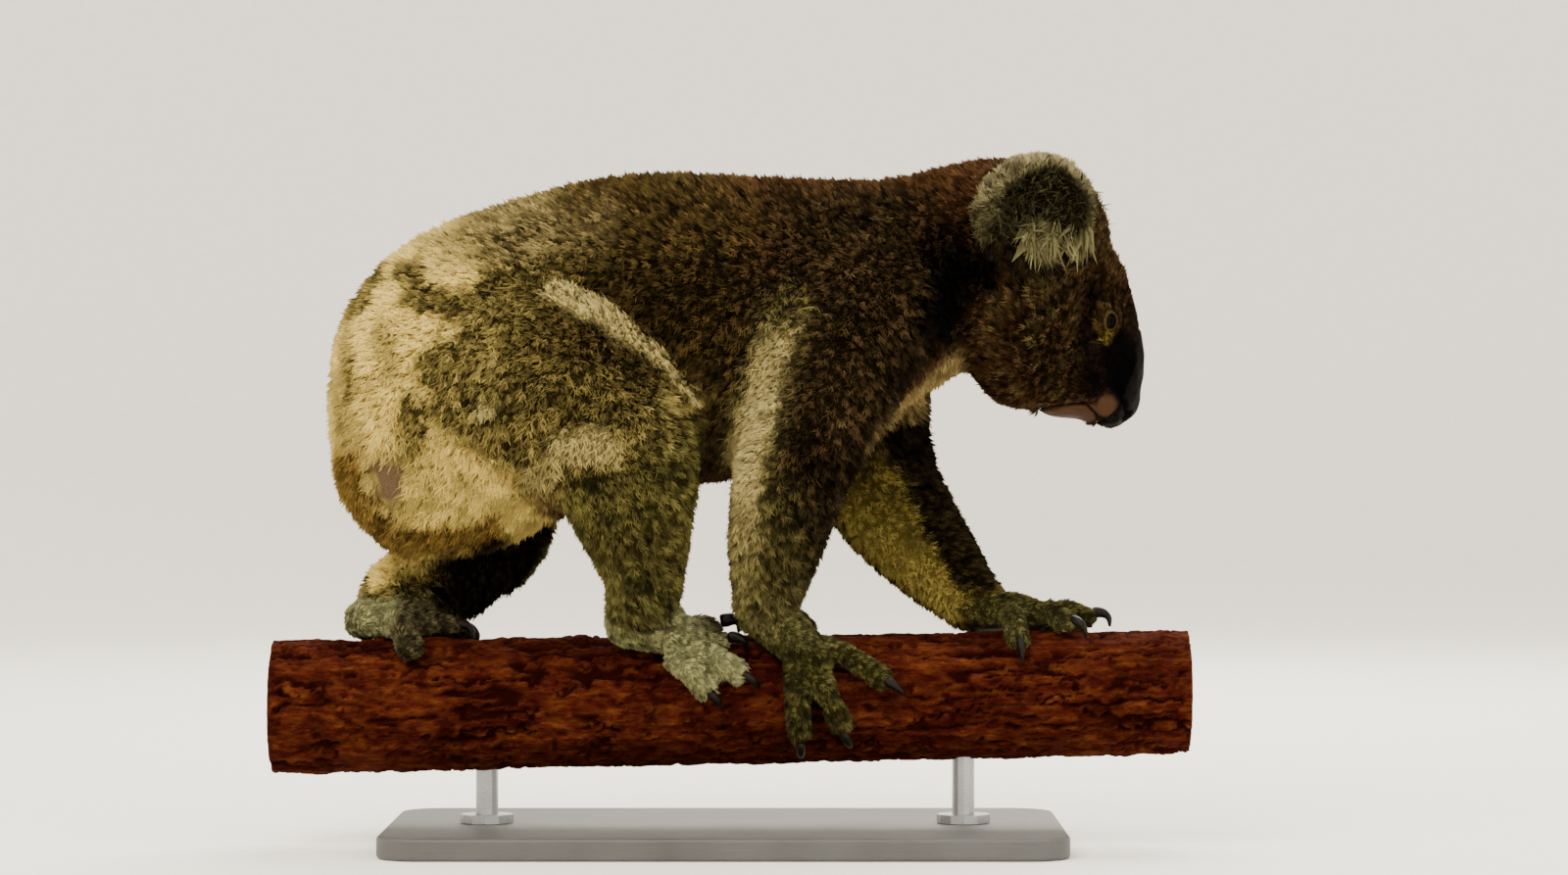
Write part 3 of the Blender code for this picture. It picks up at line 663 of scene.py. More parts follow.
CREAM: Colour = (0.720, 0.530, 0.142)
PALE: Colour = (0.440, 0.350, 0.128)
MOTTLE: Colour = (0.160, 0.120, 0.0340)
STAIN: Colour = (0.112, 0.064, 0.0138)
FROST: Colour = (0.195, 0.148, 0.056)
DARK: Colour = (0.010, 0.0058, 0.0026)
BLACK: Colour = (0.0016, 0.0011, 0.0009)
OLIVE: Colour = (0.130, 0.108, 0.034)
PINK: Colour = (0.122, 0.078, 0.041)
LIP: Colour = (0.056, 0.0264, 0.0112)
EYELID: Colour = (0.048, 0.0290, 0.0080)
LEATHER: Colour = (0.0014, 0.0010, 0.0009)
BELLY_BROWN: Colour = (0.070, 0.040, 0.016)
THROAT_CREAM: Colour = (0.230, 0.165, 0.060)
UNDER_RUMP_SHADOW: Colour = (0.0040, 0.0022, 0.0014)
BAND_CREAM: Colour = (0.370, 0.298, 0.116)
INSIDE_OLIVE: Colour = (0.070, 0.048, 0.011)
INSIDE_PALE: Colour = (0.180, 0.134, 0.028)
INSIDE_CREAM: Colour = (0.320, 0.245, 0.058)
FRONT_BLACK: Colour = (0.0042, 0.0024, 0.0014)
SHOULDER_BROWN: Colour = (0.054, 0.034, 0.0125)
ARM_DARK: Colour = (0.0170, 0.0098, 0.0042)
WRIST: Colour = (0.110, 0.098, 0.034)
SHANK_OLIVE: Colour = (0.125, 0.112, 0.034)
INNER_LEG_SHADOW: Colour = (0.0045, 0.0026, 0.0016)
FOOT_DARK: Colour = (0.024, 0.0130, 0.0060)
DARK_TOES: Colour = (0.022, 0.0120, 0.0055)
PADS: Colour = (0.030, 0.020, 0.016)
FACE_FUR_AND_SHADE: Colour = (0.0085, 0.0045, 0.0020)
FOREHEAD: Colour = (0.041, 0.0235, 0.0077)
FLECKS: Colour = (0.085, 0.062, 0.020)
PAINTED_FACE_SHADE: Colour = (0.0050, 0.0024, 0.0014)
BELOW_EYE: Colour = (0.086, 0.063, 0.0115)
EAR_BACK: Colour = (0.075, 0.062, 0.027)
EAR_HOLLOW_SHADOW: Colour = (0.0050, 0.0036, 0.0016)
EAR_RIM: Colour = (0.235, 0.195, 0.095)
EAR_REAR: Colour = (0.070, 0.060, 0.026)
EAR_LOW_SHADE: Colour = (0.012, 0.0075, 0.0032)
EAR_FRONT: Colour = (0.090, 0.076, 0.028)
EAR_FALL: Colour = (0.112, 0.100, 0.042)
EAR_WISP: Colour = (0.170, 0.140, 0.072)
EAR_TANGLE: Colour = (0.040, 0.035, 0.0125)


@dataclass(frozen=True)
class Patch:
    """A soft-edged oval of colour seen from the side: centre, half sizes, turn in degrees and strength."""

    x: float
    z: float
    half_x: float
    half_z: float
    colour: Colour
    turn: float = 0.0
    strength: float = 1.0
    edge: float = 0.25

    def share(self, points: Array, wobble: Array) -> Array:
        """How much of the patch each point has: 1 well inside its oval, 0 outside, with a wobbling edge."""
        turn = math.radians(self.turn)
        x, z = points[:, 0] - self.x, points[:, 2] - self.z
        along = (x * math.cos(turn) + z * math.sin(turn)) / self.half_x
        across = (z * math.cos(turn) - x * math.sin(turn)) / self.half_z
        distance = np.hypot(along, across) + wobble
        return self.strength * ease(1 + self.edge, 1 - self.edge, distance)


@dataclass(frozen=True)
class Crease:
    """A groove in the skin along a line seen from the side, on both flanks."""

    route: tuple
    depth: float
    half_width: float

    def profile(self, points: Array) -> Array:
        """1 on the line, falling away as a bell curve over half_width."""
        return np.exp(-((route_distance(points[:, [0, 2]], self.route) / self.half_width) ** 2))


# The cream patch on top of the rump, the rump's mottling, a pale fleck, and grey frosting over the loin.
TRUNK_PATCHES = (
    Patch(-0.198, 0.417, 0.029, 0.028, CREAM, edge=0.20),
    Patch(-0.200, 0.388, 0.026, 0.011, MOTTLE, turn=-12),
    Patch(-0.217, 0.405, 0.012, 0.010, MOTTLE),
    Patch(-0.247, 0.396, 0.008, 0.028, MOTTLE, turn=-28),
    Patch(-0.214, 0.303, 0.012, 0.020, MOTTLE, strength=0.8),
    Patch(-0.262, 0.330, 0.005, 0.040, MOTTLE, turn=-6, strength=0.6),
    Patch(-0.232, 0.352, 0.007, 0.024, MOTTLE, turn=10, strength=0.6),
    Patch(-0.217, 0.275, 0.022, 0.014, MOTTLE, strength=0.35, edge=0.6),
    Patch(-0.133, 0.423, 0.005, 0.009, PALE),
    Patch(-0.150, 0.432, 0.058, 0.020, FROST, turn=10, strength=0.8, edge=0.6),
)
# Painted shadow: black in the hollow between neck and cheek, and in the one under the ear.
PAINTED_SHADOW_PATCHES = (
    Patch(0.157, 0.396, 0.018, 0.046, BLACK, turn=-8, strength=1.0, edge=0.45),
    Patch(0.188, 0.412, 0.012, 0.019, BLACK, strength=0.97, edge=0.4),
)
ARM_PATCHES = (
    Patch(0.072, 0.326, 0.030, 0.034, SHOULDER_BROWN, strength=0.75, edge=0.6),
    Patch(0.064, 0.248, 0.021, 0.044, ARM_DARK, turn=8, strength=0.65, edge=0.6),
)
FOOT_PATCHES = (Patch(-0.002, 0.159, 0.017, 0.012, FOOT_DARK, turn=-20, strength=0.85, edge=0.5),)
# Three pale patches on the thigh, two dark ones at its front edge, and a lighter one low on the shank.
THIGH_PATCHES = (
    Patch(-0.092, 0.2867, 0.024, 0.0145, PALE, edge=0.15),
    Patch(-0.121, 0.2700, 0.018, 0.0090, PALE, turn=35, strength=0.5),
    Patch(-0.1645, 0.310, 0.006, 0.005, PALE),
    Patch(-0.064, 0.318, 0.020, 0.022, DARK, turn=-38, strength=0.40, edge=0.7),
    Patch(-0.056, 0.218, 0.024, 0.020, DARK, strength=0.32, edge=0.6),
    Patch(-0.072, 0.184, 0.024, 0.018, SHANK_OLIVE, strength=0.55, edge=0.7),
)
CHEEK = Patch(0.224, 0.356, 0.036, 0.060, FLECKS, edge=0.6)
# Painted shade round the eyes and over the muzzle.
EYE_SHADE_PATCH = Patch(0.2600, 0.3680, 0.0130, 0.0420, PAINTED_FACE_SHADE, edge=0.45)
SNOUT_SHADE_PATCH = Patch(0.2680, 0.3340, 0.0170, 0.0250, PAINTED_FACE_SHADE, edge=0.45)
LOWER_LIP = Patch(0.2450, 0.3075, 0.0230, 0.0105, LIP, turn=8)
UPPER_LIP = Patch(0.2722, 0.3135, 0.0095, 0.0085, LIP)
NOSE_SIDE = Patch(0.284, 0.334, 0.012, 0.034, LEATHER, turn=14, edge=0.3)
SCAR = Patch(-0.234, 0.262, 0.013, 0.016, PINK, edge=0.3)
STRIPE_ROUTE = ((-0.1140, 0.3910), (-0.0815, 0.3740), (-0.0485, 0.3505), (-0.0210, 0.3165))
STAIN_ROUTE = ((-0.262, 0.276), (-0.256, 0.244), (-0.236, 0.222), (-0.197, 0.2215), (-0.167, 0.230))
# Below this line under the rump the coat is painted almost black as shadow: places along it, and its height
# at each.
SHADOW_LINE_PLACES = (-0.240, -0.198, -0.168, -0.149, -0.137, -0.120)
SHADOW_LINE_HEIGHTS = (0.206, 0.2135, 0.2235, 0.2300, 0.2350, 0.2250)
THROAT_ROUTE = ((0.108, 0.291), (0.1295, 0.3112), (0.1435, 0.3238), (0.154, 0.3343), (0.168, 0.350))
ARM_ROUTE = (
    (0.043, 0.376), (0.034, 0.350), (0.0300, 0.324), (0.020, 0.289),
    (0.0135, 0.254), (0.008, 0.205), (0.004, 0.16),
)
FAR_ARM_ROUTE = ((0.104, 0.308), (0.129, 0.265), (0.143, 0.229), (0.165, 0.193), (0.184, 0.162))
MOUTH_ROUTE = ((0.2240, 0.3106), (0.2400, 0.3140), (0.2548, 0.3152), (0.2640, 0.3060), (0.2680, 0.2950))
THIGH_FRONT = ((-0.128, 0.408), (-0.080, 0.388), (-0.042, 0.360), (-0.013, 0.325), (-0.010, 0.285))
CREASES = (
    Crease(THIGH_FRONT, 0.0055, 0.0065),
    Crease(((-0.150, 0.308), (-0.120, 0.314), (-0.090, 0.312)), 0.0028, 0.0035),
    Crease(((-0.165, 0.280), (-0.130, 0.290), (-0.100, 0.305)), 0.0026, 0.0035),
    Crease(((-0.095, 0.352), (-0.070, 0.335), (-0.055, 0.318)), 0.0028, 0.0040),
    Crease(((0.178, 0.432), (0.189, 0.414), (0.190, 0.394)), 0.0060, 0.0080),  # hollow behind the cheek
    Crease(((0.006, 0.372), (-0.002, 0.340), (0.002, 0.300)), 0.0030, 0.0070),  # behind the shoulder
)
# Which way the hair lies on the trunk. On the limbs it runs to the next part, with a lean of its own.
LAYS = {
    Part.RUMP: (-0.42, 0.0, -0.90),
    Part.BELLY: (-0.80, 0.0, -0.60),
    Part.CHEST: (-0.80, 0.0, -0.60),
    Part.NECK: (-0.80, 0.0, -0.60),
}
NEXT_PARTS = {
    Part.THIGH: (Part.SHANK, (-0.09, 0.0, 0.0)),
    Part.UPPER_ARM: (Part.FOREARM, (-0.03, 0.0, 0.0)),
    Part.SHANK: (Part.HINDFOOT, (0.0, 0.0, 0.0)),
    Part.FOREARM: (Part.FOREPAW, (0.0, 0.0, 0.0)),
}
MUZZLE_MIDDLE = np.array([0.285, 0.0, 0.325])  # the head's hair runs away from here
# The rump's cream edge: heights, and how far forward the cream comes at each.
CREAM_HEIGHTS = (0.190, 0.2285, 0.2600, 0.2800, 0.3000, 0.3465, 0.3650, 0.3970, 0.4350, 0.4500)
CREAM_REACHES = (-0.125, -0.128, -0.138, -0.165, -0.196, -0.214, -0.182, -0.190, -0.205, -0.225)


class Markings:
    """The coat's markings, laid on one over another: each skin point's colour, and how bare it is."""

    def __init__(self, skin: "Skin") -> None:
        """Starts from each part's own colour, mottled, and works out what limits the later colours.

        Args:
            skin: The skin, with its shape, folds and eyes in place.
        """
        self.skin, self.noise = skin, skin.noise
        self.points, self.normals = skin.surface.points, skin.normals
        self.x, self.z = self.points[:, 0], self.points[:, 2]
        self.from_side = self.points[:, [0, 2]]
        self.near, self.far = self.points[:, 1] < 0, self.points[:, 1] > 0
        self.inward = -np.sign(self.points[:, 1]) * self.normals[:, 1]
        self.outer = ease(-0.1, 0.3, -self.inward)
        self.part = np.array([list(Part).index(p) for p in skin.parts])[skin.label]
        self.broad, self.small = self.noise(self.points, 0.045, 2), self.noise(self.points + 3.1, 0.012, 2)
        self.fine = self.noise(self.points + 7.7, 0.004, 1)
        self.wobble = 0.28 * self.small + 0.12 * self.fine
        base = skin.web.smoothed(np.array([FURS[p].colour for p in skin.parts])[skin.label], 22)
        grizzled = np.array([p in (Part.RUMP, Part.THIGH) for p in skin.parts])[skin.label] * 1.0
        pepper = 0.16 + 0.30 * skin.web.smoothed(grizzled, 20)
        mottle = 0.22 * self.broad + pepper * self.small + pepper * self.noise(self.points + 2.2, 0.0075, 1)
        self.colour = base * np.exp(mottle)[:, None]
        self.bare = np.zeros(len(self.points))

    def among(self, *kinds: Part) -> Array:
        """A soft share of the points that belong to these parts."""
        here = np.isin(self.part, [list(Part).index(k) for k in kinds]).astype(float)
        return self.skin.web.smoothed(here, 5)

    def lay_on(self, shade: Colour, share: Array) -> None:
        """Covers the markings with a colour by that share."""
        self.colour = mixed(self.colour, np.broadcast_to(shade, self.colour.shape), np.clip(share, 0, 1))

    def lay_patches(self, patches: Sequence[Patch], *limits: Array) -> None:
        """Covers the markings with each patch in turn, within the shares that limit it."""
        for patch in patches:
            share = patch.share(self.points, self.wobble)
            for limit in limits:
                share = share * limit
            self.lay_on(patch.colour, share)

    def paint(self) -> None:
        """Lays on all the markings, from the underside to the soles."""
        self._underside()
        self._rump()
        self._forelegs()
        self._hind_legs()
        self._face()
        self._eyelids()
        self._ears()
        # Painted shadow in the neck's hollow and under the ear, kept off the ears.
        self.lay_patches(PAINTED_SHADOW_PATCHES, 1 - self.among(Part.EAR))
        # Painted shade darkens the coat along the creases.
        self.lay_on(DARK, self.skin.crease_shadow * 0.30)
        self._bare_skin()
        self.colour = np.clip(self.colour, 0.001, 1.0)

    def _underside(self) -> None:
        """Brown on the belly, and cream from the throat to between the arms."""
        below = ease(0.35, 0.85, -self.normals[:, 2])
        self.lay_on(BELLY_BROWN, below * self.among(Part.BELLY, Part.CHEST, Part.THIGH) * 0.8)
        throat = ease(0.015, 0.008, route_distance(self.from_side, THROAT_ROUTE) + 0.002 * self.small)
        front = np.maximum(self.among(Part.CHEST, Part.NECK), self.among(Part.UPPER_ARM) * self.near)
        self.lay_on(THROAT_CREAM, throat * ease(0.5, 0.1, self.normals[:, 2]) * front)

    def _rump(self) -> None:
        """Mottled cream behind a wavering edge, pale patches, a stripe, a stain, and painted shadow, almost
        black, below.
        """
        trunk = self.among(Part.RUMP, Part.BELLY, Part.CHEST, Part.NECK, Part.THIGH)
        hind = self.among(Part.THIGH, Part.RUMP)
        reach = np.interp(self.z, CREAM_HEIGHTS, CREAM_REACHES)
        cream = ease(0.010, -0.010, self.x - reach + 0.010 * self.small + 0.006 * self.broad)
        cream *= ease(0.475, 0.440, self.z) * trunk
        mottled = ease(0.05, 0.55, self.noise(self.points * (1, 1, 0.6) + 1.3, 0.020, 2)) * 0.55
        self.lay_on(CREAM, cream)
        self.lay_on(MOTTLE, cream * mottled)
        self.lay_patches(TRUNK_PATCHES, trunk)
        self.lay_patches(THIGH_PATCHES, self.among(Part.THIGH, Part.RUMP, Part.SHANK), self.outer)
        stripe = route_distance(self.from_side, STRIPE_ROUTE)
        width = 0.0062 * ease(-0.020, -0.085, self.x) + 0.0020
        self.lay_on(PALE, ease(1.5, 0.7, stripe / width + 1.6 * self.wobble) * self.outer * trunk * 0.88)
        stain = ease(0.016, 0.006, route_distance(self.from_side, STAIN_ROUTE) + 0.004 * self.small)
        self.lay_on(STAIN, stain * hind * 0.95)
        # Painted shadow: the coat under the rump goes almost black below this line.
        above = self.z - np.interp(self.x, SHADOW_LINE_PLACES, SHADOW_LINE_HEIGHTS) + 0.003 * self.small
        under = ease(0.003, -0.004, above)
        under *= ease(-0.225, -0.205, self.x) * ease(-0.118, -0.130, self.x)
        self.lay_on(UNDER_RUMP_SHADOW, under * hind * 0.95)

    def _forelegs(self) -> None:
        """Cream down the near one's rear edge with olive beside it, and both cream inside, dark in front."""
        arms = self.among(Part.UPPER_ARM, Part.FOREARM)
        band = route_distance(self.from_side, ARM_ROUTE) + 0.0022 * self.small + 0.0012 * self.fine
        outside = ease(0.15, -0.25, self.inward) * self.near
        self.lay_on(OLIVE, ease(0.030, 0.013, band) * arms * outside * 0.80)
        fading = 0.22 + 0.78 * ease(0.195, 0.272, self.z)
        pale = ease(0.0175, 0.0095, band) * ease(0.382, 0.350, self.z) * fading
        self.lay_on(BAND_CREAM, pale * arms * outside)
        inside = ease(0.05, 0.45, self.inward + 0.10 * self.small)
        height = self.z + 0.004 * self.small
        self.lay_on(INSIDE_OLIVE, inside * arms * ease(0.310, 0.290, height))
        self.lay_on(INSIDE_PALE, inside * arms * ease(0.285, 0.245, height))
        rear = ease(-0.02, -0.5, self.normals[:, 0])
        self.lay_on(INSIDE_CREAM, inside * arms * rear * ease(0.266, 0.216, self.z) * 0.9)
        places, heights = np.array(FAR_ARM_ROUTE[::-1]).T
        front = self.x - np.interp(self.z, heights, places) + 0.003 * self.small
        self.lay_on(FRONT_BLACK, ease(-0.0085, 0.002, front) * arms * self.far * 0.95)
        # Painted shade: the near foreleg's forward-facing side is darkened.
        self.lay_on(DARK, ease(0.25, 0.75, self.normals[:, 0]) * arms * self.near * 0.75)
        low = ease(0.205, 0.175, self.z) * outside
        self.lay_on(WRIST, low * self.among(Part.FOREARM) * 0.5)
        wrist = ease(0.175, 0.160, self.z) * ease(0.136, 0.152, self.z) * outside
        self.lay_on(WRIST, wrist * self.among(Part.FOREARM, Part.FOREPAW) * 0.6)
        self.lay_patches(ARM_PATCHES, arms, self.near, ease(0.3, -0.1, self.inward))
        top = ease(-0.002, 0.004, self.z - 0.297 - 0.34 * (self.x - 0.112) + 0.003 * self.small)
        share = top * self.among(Part.UPPER_ARM) * self.far * ease(0.0, 0.5, self.inward) * 0.9
        self.lay_on(THROAT_CREAM, share)

    def _hind_legs(self) -> None:
        """Painted shade, almost black, inside the legs, a dark patch on the near foot, and dark toes on the
        far one.
        """
        # Painted shade: the inner sides of the hind legs, low down, are almost black.
        inner = ease(0.05, 0.45, self.inward) * ease(0.285, 0.245, self.z) * ease(-0.246, -0.226, self.x)
        self.lay_on(INNER_LEG_SHADOW, inner * self.among(Part.SHANK, Part.THIGH) * 0.95)
        feet, owner = self.among(Part.HINDFOOT), self.skin.node_side[self.skin.label]
        self.lay_patches(FOOT_PATCHES, feet, owner < 0)
        toes = ease(-0.248, -0.226, self.x + 0.004 * self.small) * feet * (owner > 0)
        self.lay_on(DARK_TOES, toes * 0.85)

    def _face(self) -> None:
        """Painted shade over a dark face, flecked cheeks, bare pink lips, the black sides of the nose and the
        mouth's line.
        """
        head = self.among(Part.HEAD, Part.JAW, Part.NOSE)
        face = self.skin.face_share(self.points)
        # Painted shade deepens the dark fur over the face.
        self.lay_on(FACE_FUR_AND_SHADE, face * head * 0.85)
        self.lay_on(FOREHEAD, ease(0.2, 0.8, self.normals[:, 0]) * head * (1 - face) * 0.75)
        flecks = ease(0.05, 0.55, self.noise(self.points * (1.0, 1.0, 0.35), 0.0034, 2)) * (1 - face)
        self.lay_on(CHEEK.colour, flecks * CHEEK.share(self.points, 0.2 * self.small) * head * 0.8)
        # Painted shade round the eyes and over the muzzle.
        hollow = EYE_SHADE_PATCH.share(self.points, 0.1 * self.small) * 0.8
        muzzle = SNOUT_SHADE_PATCH.share(self.points, 0.1 * self.small) * 0.9
        self.lay_on(SNOUT_SHADE_PATCH.colour, np.maximum(hollow, muzzle) * head)
        lower = LOWER_LIP.share(self.points, 0.06 * self.small)
        upper = UPPER_LIP.share(self.points, 0.06 * self.small)
        low = ease(0.3160, 0.3135, self.z) * (self.x > self.skin.mouth_end)
        self.lay_on(LIP, lower * low * head)
        self.lay_on(LIP, upper * head * 0.9)
        self.bare = np.maximum(lower * low, upper) * head
        self.lay_on(LEATHER, NOSE_SIDE.share(self.points, 0.05 * self.small) * head)
        # Painted shade: the mouth's groove is black.
        self.lay_on(BLACK, self.skin.mouth)

    def _eyelids(self) -> None:
        """A dull yellow ring round each eye, a paler spot below it, and a black rim along its opening."""
        for eye in self.skin.eyes.values():
            across, up, outwards = eye.local(self.points).T
            near = outwards > -0.006
            ring = np.hypot(across / 0.0098, (up + 0.0015) / 0.0128) + 0.08 * self.small
            self.lay_on(EYELID, ease(1.15, 0.80, ring) * near)
            spot = np.hypot(across / 0.0045, (up + 0.0120) / 0.0060)
            self.lay_on(BELOW_EYE, ease(1.3, 0.7, spot) * near)
            rim = np.hypot(across / 0.0038, up / 0.0050)
            self.lay_on(BLACK, ease(1.25, 1.0, rim) * near)
            hairless = np.hypot(across / 0.0049, up / 0.0066)
            self.bare = np.maximum(self.bare, ease(1.35, 1.05, hairless) * near)

    def _ears(self) -> None:
        """Each ear's own shades."""
        here = self.among(Part.EAR)
        for ear in self.skin.ears.values():
            shades, mine = ear.markings(self.points, self.normals, self.small)
            share = mine * here
            for shade, amount in shades:
                self.lay_on(shade, amount * share)

    def _bare_skin(self) -> None:
        """The pink scar on the near side of the rump, and the pads of the feet where they hold the log."""
        scar = SCAR.share(self.points, self.wobble) * self.near
        self.lay_on(SCAR.colour, scar)
        self.bare = np.maximum.reduce([self.bare, scar, self.skin.mouth])
        from_axis = np.hypot(self.points[:, 1], self.z - PERCH_HEIGHT - PERCH_SLOPE * self.x)
        touching = ease(0.0515, 0.0490, from_axis)
        self.lay_on(PADS, touching * self.among(Part.FOREPAW, Part.HINDFOOT))
        self.bare = np.maximum(self.bare, touching)


@dataclass
class Skin:
    """The one skin under the coat, made from the flesh solids, with its lids, lips, folds and markings."""

    voxel: float = 0.0024
    kept: float = 0.50
    seam_swell: float = 0.00025
    eye_clearance: float = 0.0011
    face_depth: float = 0.0024
    lid_opening: tuple = (0.0041, 0.0053)
    lid_reach: float = 0.016
    lid_blend: float = 0.0012
    ball_sink: float = 0.0016
    mouth_end: float = 0.215
    lip_groove: float = 0.0022
    lip_width: float = 0.0012
    surface: Surface = field(init=False)
    label: Array = field(init=False)

    def __post_init__(self) -> None:
        """Names the flesh nodes, and works the skin out."""
        names = [n for n in sorted(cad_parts) if not n.startswith(("claw", "eye", "perch", "stand"))]
        self.nodes = names
        self.parts = [next(p for p in Part if n.startswith(p.value)) for n in names]
        self.node_side = np.array([SIDES.get(n.rpartition("_")[2], 0) for n in names])
        self.noise = Noise(SEED)
        self.eyes = {side: Eye(side) for side in SIDES}
        self.ears = {side: EarPlan(side) for side in SIDES}
        self._shape()
        self._lay()
        markings = Markings(self)
        markings.paint()
        self.colour, self.bare = markings.colour, markings.bare

    def fur(self, attribute: str) -> Array:
        """One of the coat's measures at each point of the skin."""
        return np.array([getattr(FURS[p], attribute) for p in self.parts])[self.label]

    def _shape(self) -> None:
        """Joins the swollen solids, draws them in by the coat's depth, and models lids, lips and folds."""
        solids = [solid(n) for n in self.nodes]
        swollen = [Surface(s.points + s.normals() * self.seam_swell, s.faces) for s in solids]
        # The lids close over each eye first, so that their opening can then be cut to shape.
        swollen += [eye.ball(eye.radius + self.eye_clearance + self.face_depth) for eye in self.eyes.values()]
        surface = largest_shell(thinned(remeshed(joined(swollen), self.voxel), self.kept))
        web = Web(surface)
        surface.points = web.fair(surface.points, 10)
        self.label = self._nearest_node(surface.points, solids)
        depth = web.smoothed(self.fur("depth"), 16)
        face = self.face_share(surface.points)
        depth = depth * (1 - face) + self.face_depth * face
        surface.points = surface.points - web.smoothed(surface.normals(), 4) * depth[:, None]
        surface.points = web.fair(surface.points, 6)
        for reach, eye_reach in ((0.014, 0.020), (0.004, 0.0125), (0.0, 0.0100)):
            surface = refined(surface, lambda middles: self._near_face(middles, reach, eye_reach))
        web = Web(surface)
        eased = 0.5 * self._near_face(surface.points, 0.012, 0.018)
        surface.points = web.smoothed(surface.points, 4, eased[:, None])
        LOG.info("skin: %d points", len(surface.points))
        self.label = self._nearest_node(surface.points, solids)
        self.surface, self.web = surface, web
        self.normals = surface.normals()
        self._fold()
        self._part_the_lips()
        for eye in self.eyes.values():
            self._open_lids(eye)
        self.normals = self.surface.normals()

    def _nearest_node(self, points: Array, solids: Sequence[Surface]) -> Array:
        """The number of the flesh node whose faces' middles are nearest, for each point.

        The squared distance is the two places' own squares less twice their dot product.
        """
        middles = np.vstack([s.points[s.faces].mean(axis=1) for s in solids])
        owner = np.concatenate([np.full(len(s.faces), k) for k, s in enumerate(solids)])
        squares = (middles**2).sum(axis=1)
        found = np.empty(len(points), int)
        for start in range(0, len(points), 4000):
            block = points[start : start + 4000]
            found[start : start + 4000] = owner[np.argmin(squares - 2 * block @ middles.T, axis=1)]
        return found

    def face_share(self, points: Array) -> Array:
        """1 round the muzzle and eyes, falling to 0 at the cheeks and crown."""
        centre, reach = np.array([0.283, 0.0, 0.335]), np.array([0.050, 0.045, 0.072])
        return ease(1.25, 0.55, np.linalg.norm((points - centre) / reach, axis=1))

    def _near_face(self, points: Array, reach: float, eye_reach: float) -> Array:
        """Whether each place is within reach of the mouth and nose, or within eye_reach of an eye."""
        near = np.zeros(len(points), bool)
        if reach:
            near = (route_distance(points[:, [0, 2]], MOUTH_ROUTE) < reach) & (points[:, 0] > 0.19)
        for eye in self.eyes.values():
            near |= np.linalg.norm(points - eye.centre, axis=1) < eye_reach
        return near

    def _fold(self) -> None:
        """Presses the creases in, on the flanks only."""
        points = self.surface.points
        flank = ease(0.10, 0.45, np.abs(self.normals[:, 1])) * ease(0.020, 0.040, np.abs(points[:, 1]))
        # This share also sets where painted shade darkens the coat along the creases.
        self.crease_shadow = np.zeros(len(points))
        for crease in CREASES:
            profile = crease.profile(points) * flank
            self.crease_shadow = np.maximum(self.crease_shadow, profile)
            points = points - self.normals * (profile * crease.depth)[:, None]
        self.surface.points = points

    def _part_the_lips(self) -> None:
        """Cuts the mouth's line in as a narrow groove."""
        points = self.surface.points
        self.mouth = np.exp(-((route_distance(points[:, [0, 2]], MOUTH_ROUTE) / self.lip_width) ** 2))
        self.mouth *= points[:, 0] > self.mouth_end
        self.surface.points = points - self.normals * (self.lip_groove * self.mouth)[:, None]

    def _open_lids(self, eye: "Eye") -> None:
        """Raises the skin over an eyeball as lids, and draws it behind the ball inside their oval opening."""
        points = self.surface.points
        place = eye.local(points)
        lateral = np.hypot(place[:, 0], place[:, 1])
        oval = np.hypot(place[:, 0] / self.lid_opening[0], place[:, 1] / self.lid_opening[1])
        near = (lateral < self.lid_reach) & (place[:, 2] > -0.004)
        lid_radius = eye.radius + self.eye_clearance
        lid = np.sqrt(np.maximum(lid_radius**2 - lateral**2, 0.0))
        ball = np.sqrt(np.maximum((eye.radius - self.ball_sink) ** 2 - lateral**2, 0.0))
        old = place[:, 2]
        raised = 0.5 * (old + lid + np.sqrt((old - lid) ** 2 + self.lid_blend**2))
        raised = old + (raised - old) * ease(0.0135, 0.0095, lateral)
        height = np.where(oval < 1.0, ball, raised)
        change = np.where(near, height - old, 0.0)
        self.surface.points = points + change[:, None] * eye.axis

    def _lay(self) -> None:
        """Works out which way the hair lies at each point of the skin, as a unit vector along the surface."""
        points, normals = self.surface.points, self.normals
        boxes = {n: np.array([(a + b) / 2 for a, b in zip(*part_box(n))]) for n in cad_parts}
        lay = np.zeros_like(points)
        for number, (name, part) in enumerate(zip(self.nodes, self.parts)):
            here = self.label == number
            side = name.rpartition("_")[2]
            if part in LAYS:
                lay[here] = LAYS[part]
            elif part in NEXT_PARTS:
                follower, lean = NEXT_PARTS[part]
                lay[here] = unit(boxes[f"{follower.value}_{side}"] - boxes[name] + np.array(lean))
            elif part is Part.EAR:
                lay[here] = self.ears[side].lay(points[here])
            elif part in (Part.FOREPAW, Part.HINDFOOT):
                kind = "claw_fore_" if part is Part.FOREPAW else "claw_hind_"
                claws = np.array([boxes[n] for n in boxes if n.startswith(kind + side)])
                gaps = np.linalg.norm(points[here][:, None] - claws[None], axis=2)
                lay[here] = unit(claws[np.argmin(gaps, axis=1)] - points[here])
            else:
                lay[here] = unit(points[here] - MUZZLE_MIDDLE)
        lay = self.web.smoothed(lay, 26)
        lay -= normals * row_dot(lay, normals)[:, None]
        self.lay = unit(lay)

    def build(self) -> bpy.types.Object:
        """Makes the skin's object, with its markings and the painted shade under the hair, and hides the
        flesh solids.
        """
        obj = self.surface.made("skin")
